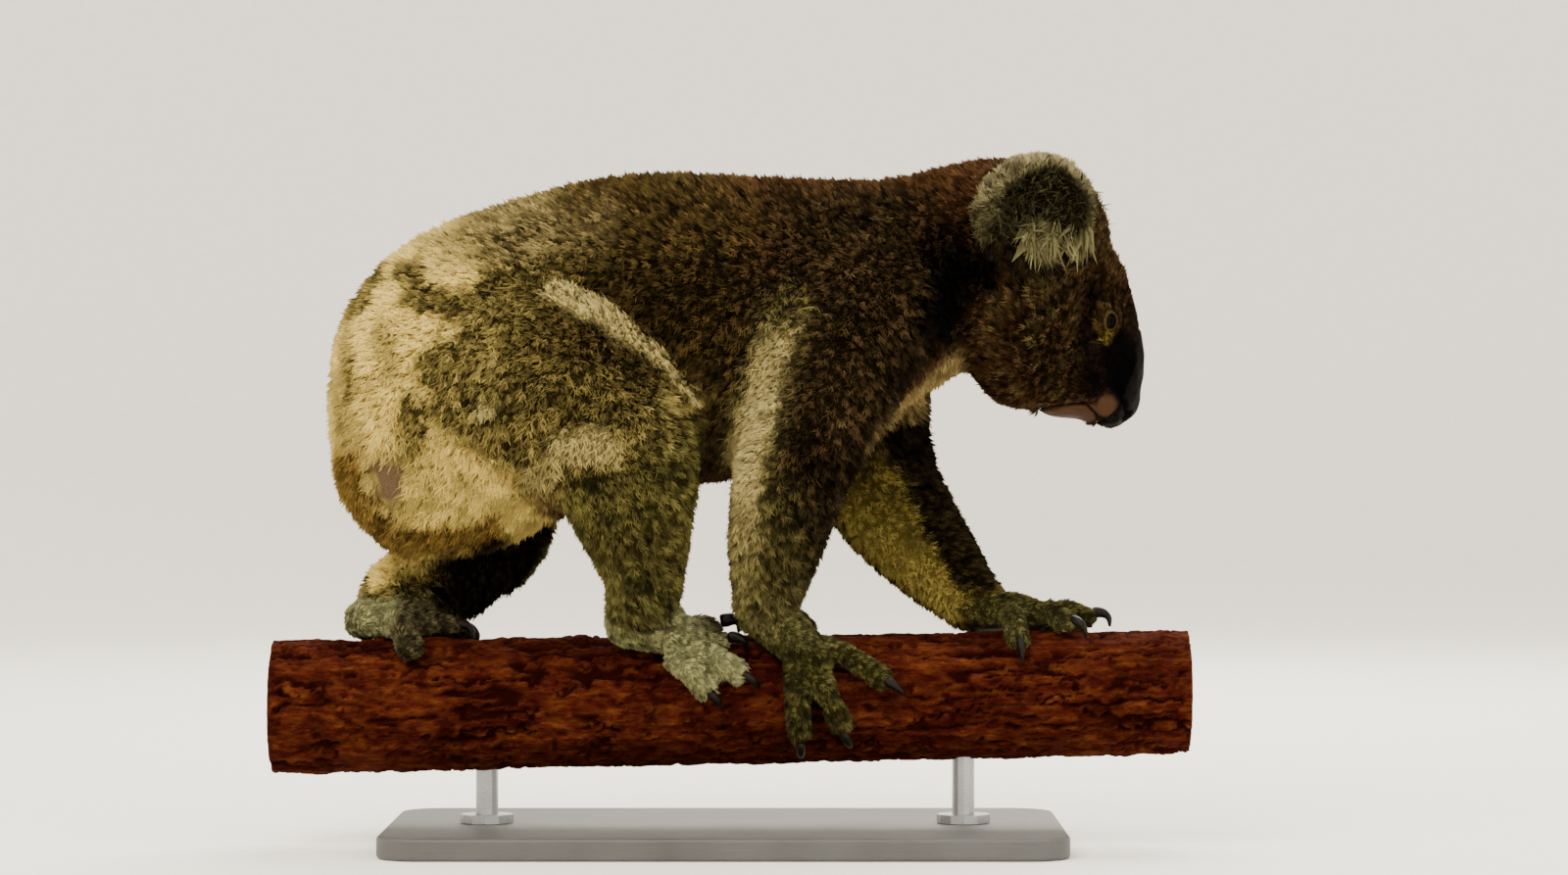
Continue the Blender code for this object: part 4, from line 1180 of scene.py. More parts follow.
        # Painted shade: the skin is darkened where hair covers it, less under pale hair, and not where it is
        # bare.
        pale = ease(0.10, 0.35, self.colour[:, 0])
        shade = np.maximum(0.30 + 0.42 * pale, self.bare)[:, None]
        set_attribute(obj, "markings", self.colour * shade)
        set_attribute(obj, "bare", self.bare)
        skin = Shader("skin_and_underfur", Specular_IOR_Level=0.03)
        bare = skin.number("bare")
        grain = skin.noise(skin.place(), 900, 4)
        pores = skin.noise(skin.place(), 2600, 2)
        tone = skin.ramp(grain, ((0.3, (0.55, 0.55, 0.55)), (0.7, (1.0, 1.0, 1.0))))
        markings = skin.attribute("markings").outputs["Color"]
        skin.feed("Base Color", skin.blend(1.0, markings, tone, "MULTIPLY"))
        skin.feed("Roughness", 0.92 - 0.40 * bare)
        skin.bump(grain * (1 - bare) + pores * bare * 0.35, 0.0012)
        dress(obj, skin)
        hand_over(obj, "body_fur", *[n for n in self.nodes if n != "nose"])
        return obj


class Eye:
    """One eyeball: where it sits, which way it looks, and its glassy piece."""

    RADIUS = 0.0079
    CORNEA = 0.00045
    CLEARANCE = 0.0003

    def __init__(self, side: str) -> None:
        """Takes the eye's place from its solid."""
        low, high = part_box("eye_" + side)
        self.side, self.sign = side, SIDES[side]
        self.centre = np.array((low + high) / 2)
        self.radius = self.RADIUS
        self.axis = unit(np.array([0.45, self.sign * 0.87, -0.12]))
        self.across = unit(np.cross((0.0, 0.0, 1.0), self.axis))
        self.upward = np.cross(self.axis, self.across)

    def local(self, points: Array) -> Array:
        """Places across, up and outwards from the eye's centre."""
        away = points - self.centre
        return np.stack([away @ self.across, away @ self.upward, away @ self.axis], axis=1)

    def ball(self, radius: float, cornea: float = 0.0) -> Surface:
        """A sphere about the eye's axis, with a cornea that stands a little proud in front.

        At each tilt from the axis the surface is the radius away, and the cornea's height times
        exp(-(tilt / 0.55)²) more.
        """
        turn = np.linspace(0, 2 * math.pi, 64, endpoint=False)[None, :]
        tilt = np.linspace(0.012, math.pi - 0.012, 56)[:, None]
        away = radius + cornea * np.exp(-((tilt / 0.55) ** 2))
        across = away * np.sin(tilt) * np.cos(turn)
        upward = away * np.sin(tilt) * np.sin(turn)
        forward = away * np.cos(tilt) * np.ones_like(turn)
        local = np.stack([across, upward, forward], axis=-1)
        points = self.centre + local @ np.stack([self.across, self.upward, self.axis])
        return grid(points[::-1], True, True)

    def build(self) -> bpy.types.Object:
        """Makes the eyeball, with its cornea over a dark iris."""
        ball = self.ball(self.radius - self.CLEARANCE, self.CORNEA)
        obj = ball.made("eyeball_" + self.side)
        place = self.local(ball.points)
        set_attribute(obj, "from_pupil", np.hypot(place[:, 0] / 0.0016, place[:, 1] / 0.0034))
        set_attribute(obj, "from_axis", np.hypot(place[:, 0], place[:, 1]) / self.radius)
        eye = Shader("eye", Roughness=0.08, Specular_IOR_Level=0.022)
        streaks = eye.noise(eye.place(), 1500, 2)
        iris = eye.ramp(streaks, ((0.30, (0.0016, 0.0008, 0.0005)), (0.70, (0.0060, 0.0028, 0.0012))))
        rim = eye.ramp(eye.number("from_axis"), ((0.52, (1, 1, 1)), (0.68, (0.12, 0.10, 0.09))))
        pupil = eye.ramp(eye.number("from_pupil") * 0.5, ((0.46, (0.02, 0.02, 0.02)), (0.54, (1, 1, 1))))
        colour = eye.blend(1.0, eye.blend(1.0, iris, rim, "MULTIPLY"), pupil, "MULTIPLY")
        eye.feed("Base Color", colour)
        dress(obj, eye)
        hand_over(obj, "eye", "eye_" + self.side)
        return obj


class EarPlan:
    """One ear's own axes, which its markings and the lay of its hair follow."""

    LEAD = 0.004
    CENTRE = (0.220, 0.074, 0.343 + PERCH_HEIGHT)
    RADII = (0.051, 0.014, 0.041)
    TURN = (-14.0, -34.0)

    def __init__(self, side: str) -> None:
        """Places the ear as its solid is placed."""
        sign = SIDES[side]
        self.sign = sign
        self.centre = np.array([self.CENTRE[0] + sign * self.LEAD, sign * self.CENTRE[1], self.CENTRE[2]])
        turn = Euler((math.radians(sign * self.TURN[0]), 0.0, math.radians(sign * self.TURN[1])))
        self.axes = np.array(turn.to_matrix())

    def local(self, points: Array) -> Array:
        """Places along the ear, outwards from its dish and up, each against the ear's half size."""
        place = (points - self.centre) @ self.axes
        place[:, 1] *= self.sign
        return place / np.array(self.RADII)

    def lay(self, points: Array) -> Array:
        """Hair runs out to the upper rim, and hangs below the ear's middle."""
        place = self.local(points)
        out = np.stack([place[:, 0], np.zeros(len(points)), place[:, 2] + 0.25], axis=1)
        hang = ease(0.15, -0.45, place[:, 2])[:, None]
        return unit(unit(out) @ self.axes.T * (1 - hang) + np.array([-0.15, 0.0, -0.95]) * hang)

    def inner(self, points: Array, normals: Array) -> Array:
        """1 on the dish's hollow face, 0 on its back."""
        place = self.local(points)
        facing = (normals @ self.axes)[:, 1] * self.sign
        from_middle = np.hypot(place[:, 0], place[:, 2])
        return ease(-0.1, 0.4, facing) * ease(1.0, 0.82, from_middle)

    def markings(self, points: Array, normals: Array, small: Array) -> tuple[list, Array]:
        """The ear's colours: a pale grey back and upper rim, painted shadow in the hollow, and painted shade
        below its middle.

        Returns:
            Pairs of a colour and its share, and the share of the points that are this ear's.
        """
        place = self.local(points)
        along, up = place[:, 0], place[:, 2]
        mine = (np.sign(points[:, 1]) == self.sign).astype(float)
        facing = ease(-0.2, 0.3, (normals @ self.axes)[:, 1] * self.sign)
        from_middle = np.hypot(along, up) + 0.05 * small
        rear = ease(-0.50, -0.72, along + 0.10 * small) * ease(-0.60, -0.35, up) * ease(0.30, 0.05, up)
        rim = ease(0.70, 0.87, from_middle) * ease(-0.10, 0.15, up) * (1 - 0.75 * ease(0.45, 0.85, along))
        low = ease(-0.10, -0.40, up + 0.08 * small) * (1 - rear)
        rim = rim * (1 - 0.50 * ease(-0.20, -0.70, along))
        front = ease(1.3, 0.5, np.hypot((along - 0.82) / 0.22, (up + 0.22) / 0.26))
        # Painted shadow fills the dish's hollow, and painted shade darkens the ear below its middle.
        shades = [
            (EAR_BACK, np.full(len(points), 0.9)),
            (EAR_HOLLOW_SHADOW, facing * (1 - rim)),
            (EAR_RIM, rim),
            (EAR_REAR, rear * (1 - rim)),
            (EAR_LOW_SHADE, low),
            (EAR_FRONT, front * 0.85),
        ]
        return shades, mine


# ---------------------------------------------------------------- the coat


@dataclass
class Roots:
    """Where tufts grow: each one's place and what it takes from the skin there."""

    place: Array
    normal: Array
    lay: Array
    colour: Array
    length: Array
    lift: Array
    half_width: Array
    clump: Array
    gather: Array


TUFT_POINTS = 4
TUFT_FACES = 4


@dataclass
class Coat:
    """The tufts over the skin, as solid slivers that bend along the body and gather into locks."""

    skin: Skin
    guard_share: float = 0.06
    patch: float = 0.003
    most_tufts: int = 48000
    split_over: int = 18000
    tangle: float = 0.34e6
    fall: float = 1.15e6
    wisp: float = 0.55e6
    root_tone: float = 0.34
    middle_shade: float = 0.86
    tip_tone: float = 1.16

    def __post_init__(self) -> None:
        """Prepares the coat's random draws and the measures that it takes from the skin."""
        self.rng = np.random.default_rng(SEED + 1)
        self.cells = Cells(SEED + 2)
        self.finish = self._finish()
        skin = self.skin
        face = skin.face_share(skin.surface.points)
        web = skin.web

        def measure(name: str, on_face: float, rounds: int = 12) -> Array:
            """One measure of the coat over the skin, eased between its parts and towards the face."""
            smooth = web.smoothed(skin.fur(name), rounds)
            return smooth * (1 - face) + on_face * face

        self.length = measure("length", 0.0038)
        self.lift = np.radians(measure("lift", 20.0))
        self.half_width = measure("half_width", 0.00030)
        self.clump = measure("clump", 0.0030)
        self.gather = measure("gather", 0.15)
        self.density = measure("density", 1.0, 4) * 1e6 * (1 - skin.bare) ** 2

    def roots(self, density: Array) -> tuple[Array, Array, Array]:
        """Scatters roots evenly over the skin.

        The tufts wanted are summed along the triangles, and a root is set at each whole number of the sum,
        shifted at random by up to one.

        Args:
            density: Tufts for each square metre, at each point of the skin.

        Returns:
            For each root its triangle's number, its three weights on that triangle's corners, and its node's
            number.
        """
        surface = self.skin.surface
        a, b, c = (surface.points[surface.faces[:, k]] for k in range(3))
        area = 0.5 * np.linalg.norm(np.cross(b - a, c - a), axis=1)
        running = np.cumsum(area * density[surface.faces].mean(axis=1))
        marks = np.arange(int(running[-1])) + self.rng.random(int(running[-1]))
        triangle = np.minimum(np.searchsorted(running, marks), len(area) - 1)
        u, v = self.rng.random((2, len(marks)))
        over = u + v > 1
        u, v = np.where(over, 1 - u, u), np.where(over, 1 - v, v)
        return triangle, np.stack([1 - u - v, u, v], axis=1), self.skin.label[surface.faces[triangle, 0]]

    def at_roots(self, triangle: Array, weights: Array) -> Roots:
        """Takes each measure of the skin at the roots, as the weighted mean of the triangle's corners."""
        skin, corners = self.skin, self.skin.surface.faces[triangle]

        def taken(values: Array) -> Array:
            """The weighted mean of three corners' values."""
            return np.einsum("nk,nk...->n...", weights, values[corners])

        normal = unit(taken(skin.normals))
        lay = taken(skin.lay)
        lay = unit(lay - normal * row_dot(lay, normal)[:, None])
        return Roots(
            taken(skin.surface.points), normal, lay, taken(skin.colour), taken(self.length), taken(self.lift),
            taken(self.half_width), taken(self.clump), taken(self.gather),
        )

    def slivers(self, roots: Roots, tone: Array) -> tuple[Surface, Array, Array]:
        """Shapes the tufts: closed slivers with a point at the root, two at the bend and one at the tip.

        The stretch to the bend rises more steeply than the one to the tip, so that a tuft leans along the
        body, and the straight line from root to tip is its lower edge. Tips are drawn towards the middle of
        their lock.

        Args:
            roots: Where and how the tufts grow.
            tone: Each tuft's brightness.

        Returns:
            The surface of all tufts, each point's colour, and the way that each point faces the light.
        """
        count, rng = len(roots.place), self.rng
        side = np.cross(roots.normal, roots.lay)
        centre, number, _ = self.cells.nearest(roots.place, self._lock_size(roots))
        pull = centre - roots.place
        pull -= roots.normal * row_dot(pull, roots.normal)[:, None]
        swing = rng.normal(0, 0.36, count) + 0.45 * number
        forward = unit(roots.lay + side * swing[:, None])
        steep, flat = np.minimum(roots.lift * 1.40, 1.50), roots.lift * 0.80
        rise = forward * np.cos(steep)[:, None] + roots.normal * np.sin(steep)[:, None]
        trail = forward * np.cos(flat)[:, None] + roots.normal * np.sin(flat)[:, None]
        curl = side * (rng.normal(0, 0.17, count) * roots.length)[:, None]
        start = roots.place - roots.normal * 0.0006
        middle = roots.place + rise * (roots.length * 0.45)[:, None] + pull * (roots.gather * 0.35)[:, None]
        tip = middle + trail * (roots.length * 0.55)[:, None] + pull * (roots.gather * 0.65)[:, None] + curl
        roll = rng.uniform(-0.9, 0.9, count)
        across = unit(np.cross(forward, roots.normal))
        wide = across * np.cos(roll)[:, None] + roots.normal * np.sin(roll)[:, None]
        wide = wide * roots.half_width[:, None]
        points = np.stack([start, middle - wide, middle + wide, tip], axis=1)
        # Light falls on a tuft mostly as on the body under it, so that the coat looks like one soft mass.
        lean = across * 0.45
        facing = [roots.normal, roots.normal - lean, roots.normal + lean, roots.normal + forward * 0.35]
        own = unit(np.stack(facing, axis=1).reshape(-1, 3))
        pattern = np.array([(0, 1, 2), (3, 2, 1), (0, 3, 1), (0, 2, 3)])
        faces = (np.arange(count)[:, None, None] * TUFT_POINTS + pattern[None]).reshape(-1, 3)
        # Each tuft darkens towards its root as painted shade inside the coat. Pale hair stays paler there, as
        # painted light coming through it.
        pale = ease(0.12, 0.40, roots.colour[:, 0])
        dark = np.array([self.root_tone, self.middle_shade, self.middle_shade, self.tip_tone])
        light = np.array([0.78, 0.94, 0.94, 1.06])
        gradient = dark[None, :] + (light - dark)[None, :] * pale[:, None]
        colours = roots.colour[:, None, :] * (tone[:, None] * gradient)[..., None]
        return outward(Surface(points.reshape(-1, 3), faces), TUFT_POINTS), colours.reshape(-1, 3), own

    def _lock_size(self, roots: Roots) -> Array:
        """Each root's lock size, in steps, so that neighbours share the same locks."""
        return np.maximum(np.round(roots.clump / 0.0006) * 0.0006, 0.0024)

    def build(self) -> list[bpy.types.Object]:
        """Grows the whole coat and makes its pieces, one or more for each part of the body."""
        triangle, weights, label = self.roots(self.density)
        roots = self.at_roots(triangle, weights)
        rng, count = self.rng, len(label)
        guard = rng.random(count) < self.guard_share
        roots.length = roots.length * rng.uniform(0.86, 1.10, count) * np.where(guard, 1.10, 1.0)
        roots.lift = roots.lift * rng.uniform(0.75, 1.25, count) * np.where(guard, 1.20, 1.0)
        roots.half_width = roots.half_width * rng.uniform(0.75, 1.2, count) * np.where(guard, 0.55, 1.0)
        _, lock, away = self.cells.nearest(roots.place, self._lock_size(roots))
        valley = ease(0.30, 0.70, away)
        pit = ease(0.25, 0.65, self.skin.noise(roots.place + 4.4, 0.0044, 1))
        woolly = np.array([WOOLLY.get(p, 0.0) for p in self.skin.parts])[label]
        line = self.skin.noise(roots.place * (1.0, 1.0, 1.6) + 6.1, 0.0125, 2) / 0.15
        crack = np.exp(-(line**2)) * ease(-0.30, 0.15, self.skin.noise(roots.place + 2.7, 0.028, 1)) * woolly
        contrast = 1 - 0.75 * ease(0.12, 0.45, roots.colour[:, 0])
        contrast = contrast * (1.5 - 0.5 * ease(0.03, 0.12, roots.colour[:, 0]))
        # Painted shade: tufts darken in the valleys between locks, in scattered pits and along the woolly
        # cracks.
        shading = rng.normal(0, 0.13, count) + 0.30 * lock + 0.30 - 0.75 * valley - 1.05 * pit
        tone = np.exp(contrast * shading)
        tone = tone * np.exp(-1.8 * crack * (1 - 0.8 * ease(0.25, 0.50, roots.colour[:, 0])))
        roots.length = roots.length * (1.08 - 0.22 * valley - 0.18 * pit - 0.28 * crack)
        fringe = self._fringe()
        label = np.concatenate([label, fringe[2]])
        names = Roots.__annotations__
        roots = Roots(*(np.concatenate([getattr(roots, k), getattr(fringe[0], k)]) for k in names))
        tone = np.concatenate([tone, fringe[1]])
        surface, colours, facing = self.slivers(roots, tone)
        LOG.info("coat: %d tufts", len(tone))
        groups = self._groups(label, roots.place)
        return [self._piece(surface, colours, facing, roots, name, tufts) for name, tufts in groups]

    def _fringe(self) -> tuple[Roots, Array, Array]:
        """The ears' long hair: a tangle over the hollow, a pale fall below it, and wisps at the front rim.

        Returns:
            The roots, each tuft's brightness, and the number of its node.
        """
        skin = self.skin
        points = skin.surface.points
        is_ear = np.array([p is Part.EAR for p in skin.parts])[skin.label]
        tangle, fall, wisp = (np.zeros(len(points)) for _ in range(3))
        for ear in skin.ears.values():
            place = ear.local(points)
            mine = is_ear & (np.sign(points[:, 1]) == ear.sign)
            inner = ear.inner(points, skin.normals)
            middle = np.hypot((place[:, 0] - 0.12) / 0.30, (place[:, 2] + 0.24) / 0.22)
            apart = np.hypot(place[:, 0], place[:, 2])
            tangle = np.where(mine, inner * ease(-0.55, -0.15, place[:, 2]) * ease(0.90, 0.72, apart), tangle)
            fore = np.hypot((place[:, 0] - 0.70) / 0.20, (place[:, 2] + 0.16) / 0.16)
            hang = np.maximum(ease(1.45, 0.45, middle), 0.5 * ease(1.4, 0.6, fore))
            fall = np.where(mine, inner * hang, fall)
            wisp = np.where(mine & (ear.sign > 0), ease(0.62, 0.92, place[:, 0]), wisp)
        wanted = (self.tangle * tangle, self.fall * fall, self.wisp * wisp)
        triangle, weights, label = self.roots(sum(wanted))
        roots = self.at_roots(triangle, weights)
        rng, count = self.rng, len(label)
        corners = skin.surface.faces[triangle]
        kinds = [np.einsum("nk,nk->n", weights, k[corners]) for k in wanted]
        draw = rng.random(count) * sum(kinds)
        is_fall = draw < kinds[1]
        is_wisp = ~is_fall & (draw < kinds[1] + kinds[2])
        is_tangle = ~is_fall & ~is_wisp
        which, rows = [is_fall, is_wisp], [is_fall[:, None], is_wisp[:, None]]
        roots.length = np.select(which, [0.026, 0.019], 0.0120) * rng.uniform(0.25, 1.15, count)
        roots.lift = np.radians(np.select(which, [26.0, 30.0], 34.0)) * rng.uniform(0.6, 1.4, count)
        roots.half_width = np.full(count, 0.00022) * rng.uniform(0.7, 1.2, count)
        roots.clump = np.full(count, 0.0072)
        roots.gather = np.where(is_fall, 0.8, 0.4)
        down = np.array([-0.34, 0.0, -1.0]) + rng.normal(0, 0.24, (count, 3))
        forward = np.array([0.85, 0.0, -0.35]) + rng.normal(0, 0.35, (count, 3))
        lay = np.select(rows, [down, forward], rng.normal(0, 1.0, (count, 3)))
        roots.lay = unit(lay - roots.normal * row_dot(lay, roots.normal)[:, None])
        shades = np.select(rows, [np.array(EAR_FALL), np.array(EAR_WISP)], np.array(EAR_TANGLE))
        roots.colour = np.broadcast_to(shades, (count, 3)) * 1.0
        strand = skin.noise(roots.place * (1.0, 1.0, 0.4) + 8.0, 0.0021, 1)
        tone = np.exp(rng.normal(-0.06, 0.34, count) + 0.75 * strand * is_fall - 0.25 * is_tangle)
        return roots, tone, label

    def _groups(self, label: Array, places: Array) -> list[tuple[str, Array]]:
        """Names the coat's pieces and says which tufts each holds, none of them with too many."""
        groups = []
        for number, name in enumerate(self.skin.nodes):
            here = np.flatnonzero(label == number)
            if name in ("jaw", "nose") or not len(here):
                continue
            if name == "head":
                whole_head = [self.skin.nodes.index(n) for n in ("head", "jaw", "nose")]
                here = np.flatnonzero(np.isin(label, whole_head))
            share = math.ceil(len(here) / self.most_tufts)
            if self.skin.node_side[number] == 0 and share < 2 and len(here) > self.split_over:
                share = 2
            if share == 1:
                groups.append(("coat_" + name, here))
                continue
            order = here[np.argsort(places[here, 1], kind="stable")]
            names = ("right", "left") if share == 2 else tuple("abcdef"[:share])
            for tag, part in zip(names, np.array_split(order, share)):
                groups.append((f"coat_{name}_{tag}", np.sort(part)))
        return groups

    def _piece(
        self, surface: Surface, colours: Array, facing: Array, roots: Roots, name: str, tufts: Array
    ) -> bpy.types.Object:
        """Makes one piece of the coat, with its colours and its OFBake map."""

        def of_tufts(rows: Array) -> Array:
            """The rows that belong to this piece's tufts."""
            return rows.reshape(-1, TUFT_POINTS, 3)[tufts].reshape(-1, 3)

        faces = surface.faces.reshape(-1, TUFT_FACES, 3)[tufts] - (tufts * TUFT_POINTS)[:, None, None]
        faces = (faces + (np.arange(len(tufts)) * TUFT_POINTS)[:, None, None]).reshape(-1, 3)
        obj = Surface(of_tufts(surface.points), faces).made(name)
        set_attribute(obj, "markings", of_tufts(colours))
        obj.data.normals_split_custom_set_from_vertices(of_tufts(facing))
        centre = unwrapped(roots.place[tufts])
        offsets = np.array([(0, -0.5), (-0.5, 0), (0.5, 0), (0, 0.5)]) * self.patch
        flat = (centre[:, None, :] + offsets[None]).reshape(-1, 2)[faces.ravel()]
        layer = obj.data.uv_layers.new(name="OFBake")
        layer.data.foreach_set("uv", flat.astype(np.float32).ravel())
        dress(obj, self.finish)
        hand_over(obj, "pale_fur" if name.startswith("coat_ear") else "body_fur")
        return obj

    def _finish(self) -> Shader:
        """The coat's finish: the markings with a fine variation, matt, with a faint sheen."""
        fur = Shader("fur", Roughness=0.90, Specular_IOR_Level=0.03)
        streak = fur.noise(fur.place(), 700, 2)
        tone = fur.ramp(streak, ((0.32, (0.72, 0.71, 0.68)), (0.68, (1.16, 1.16, 1.18))))
        markings = fur.attribute("markings").outputs["Color"]
        fur.feed("Base Color", fur.blend(1.0, markings, tone, "MULTIPLY"))
        return fur


def outward(surface: Surface, points_each: int) -> Surface:
    """Turns the faces of many small closed shapes so that each shape's volume comes out positive."""
    a, b, c = (surface.points[surface.faces[:, k]] for k in range(3))
    shape = surface.faces[:, 0] // points_each
    middle = surface.points.reshape(-1, points_each, 3).mean(axis=1)[shape]
    volume = np.einsum("ij,ij->i", a - middle, np.cross(b - middle, c - middle))
    inside_out = np.bincount(shape, volume, len(surface.points) // points_each) < 0
    faces = np.where(inside_out[shape][:, None], surface.faces[:, ::-1], surface.faces)
    return Surface(surface.points, faces, surface.smooth)


def unwrapped(places: Array) -> Array:
    """Unrolls places round a shape onto a square: the turn about its long axis, and the height on it.

    Each place is first divided by the shape's half sizes, so that a long, flat or round shape opens alike.
    """
    low, high = places.min(axis=0), places.max(axis=0)
    scaled = (places - (low + high) / 2) / np.maximum((high - low) / 2, 1e-6)
    long = int(np.argmax(high - low))
    first, second = (long + 1) % 3, (long + 2) % 3
    turn = np.arctan2(scaled[:, second], scaled[:, first]) / (2 * math.pi) + 0.5
    radius = np.maximum(np.linalg.norm(scaled, axis=1), 1e-6)
    height = np.arcsin(np.clip(scaled[:, long] / radius, -1, 1)) / math.pi + 0.5
    return np.stack([turn, height], axis=1) * 0.992 + 0.004


# ---------------------------------------------------------------- nose and claws


@dataclass
class Nose:
    """The bare black nose: its solid made even and smooth, with nostrils and fine leather."""

    voxel: float = 0.0009
    nostril: tuple = (0.0100, 0.3085)
    nostril_depth: float = 0.0050
    groove_depth: float = 0.0012
    fullness: float = 0.0065

    def build(self) -> bpy.types.Object:
        """Makes the nose and hides its solid."""
        surface = remeshed(solid("nose"), self.voxel)
        web = Web(surface)
        surface.points = web.fair(surface.points, 24)
        normals = web.smoothed(surface.normals(), 3)
        place = surface.points
        across = np.abs(place[:, 1])
        y, z = self.nostril
        # A nostril is a comma: a round pit, and a slit that curls from it outwards and back.
        pit = np.hypot((across - y) / 0.0032, (place[:, 2] - z) / 0.0042)
        curl = ((y, z), (y + 0.0048, z + 0.0035), (y + 0.0072, z + 0.0090))
        slit = route_distance(np.stack([across, place[:, 2]], axis=1), curl)
        front = ease(0.15, 0.5, normals[:, 0] + 0.6 * np.abs(normals[:, 1]))
        hole = np.maximum(ease(1.15, 0.55, pit), 0.75 * ease(0.0018, 0.0004, slit)) * front
        groove = np.exp(-((place[:, 1] / 0.0011) ** 2)) * ease(0.330, 0.305, place[:, 2]) * front
        # The tip's lower front is round and full.
        away = np.hypot((place[:, 0] - 0.289) / 0.0135, (place[:, 2] - 0.311) / 0.0135)
        full = self.fullness * np.exp(-(away**2) - (across / 0.021) ** 2) * ease(0.1, 0.5, normals[:, 0])
        change = full - self.nostril_depth * hole - self.groove_depth * groove
        surface.points = surface.points + normals * change[:, None]
        obj = surface.made("nose_leather")
        set_attribute(obj, "hollow", hole)
        skin = Shader("nose_leather", Specular_IOR_Level=0.04)
        inputs = {"Vector": skin.place(), "Scale": 950.0}
        pebbles = skin.value("ShaderNodeTexVoronoi", {"feature": "DISTANCE_TO_EDGE"}, inputs, "Distance")
        broad = skin.noise(skin.place(), 160, 3)
        base = skin.ramp(broad, ((0.30, (0.0007, 0.0005, 0.0004)), (0.75, (0.0024, 0.0015, 0.0012))))
        # Painted shade: the nostrils' hollows are darker than the leather.
        skin.feed("Base Color", skin.blend(skin.number("hollow").held(), base, (0.0003, 0.0003, 0.0003)))
        skin.feed("Roughness", 0.46 + 0.25 * broad)
        skin.bump(pebbles.held() * 1.6 + broad * 0.5, 0.0005)
        dress(obj, skin)
        hand_over(obj, "nose_leather", "nose")
        return obj


@dataclass
class Claws:
    """The claws, each a rounded horn that keeps its solid's bow and taper."""

    levels: int = 2
    swell: float = 0.00035

    def build(self) -> list[bpy.types.Object]:
        """Makes every claw: its solid, made smooth and then brought back to the solid's size."""
        shader = self._finish()
        made = []
        for name in sorted(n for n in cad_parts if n.startswith("claw_")):
            claw = solid(name)
            obj = claw.made(name + "_horn")
            modifier = obj.modifiers.new("round", "SUBSURF")
            modifier.levels = modifier.render_levels = self.levels
            fine = read(obj)
            bpy.data.objects.remove(obj)
            grown = fine.points + fine.normals() * self.swell
            low, high = claw.points.min(axis=0), claw.points.max(axis=0)
            obj = Surface(np.clip(grown, low, high), fine.faces).made(name + "_horn")
            dress(obj, shader)
            hand_over(obj, "claw", name)
            made.append(obj)
        return made

    def _finish(self) -> Shader:
        """Black horn with a faint brown in it and fine length-wise scratches."""
        horn = Shader("claw_horn", Specular_IOR_Level=0.10)
        grain = horn.noise(horn.place((1.0, 1.0, 0.35)), 900, 3)
        cloud = horn.noise(horn.place(), 180, 2)
        tone = horn.ramp(cloud, ((0.30, (0.0024, 0.0015, 0.0010)), (0.75, (0.0095, 0.0056, 0.0034))))
        horn.feed("Base Color", tone)
        horn.feed("Roughness", 0.26 + 0.24 * grain)
        horn.bump(grain, 0.0002)
        return horn


# ---------------------------------------------------------------- the log and the stand


# The bark's furrows, large to small: the noise's cell, the width and strength in it, and where it opens.
FURROWS = (
    ((0.105, 0.013, 0.013), 0.13, 1.00, -0.15),
    ((0.046, 0.0075, 0.0075), 0.16, 0.80, -0.05),
    ((0.017, 0.0048, 0.0048), 0.22, 0.50, 0.05),
)
FURROW: Colour = (0.0095, 0.0009, 0.0004)
BARK_STOPS = (
    (0.32, (0.021, 0.0016, 0.0006)),
    (0.47, (0.041, 0.0064, 0.0029)),
    (0.66, (0.084, 0.0222, 0.0056)),
)
BARK_TINTS = ((0.34, (0.62, 0.50, 0.50)), (0.52, (1.0, 1.0, 1.0)), (0.68, (1.35, 1.55, 1.4)))
WOOD_STOPS = ((0.0, (0.300, 0.160, 0.060)), (0.8, (0.210, 0.100, 0.034)), (1.0, (0.110, 0.046, 0.015)))


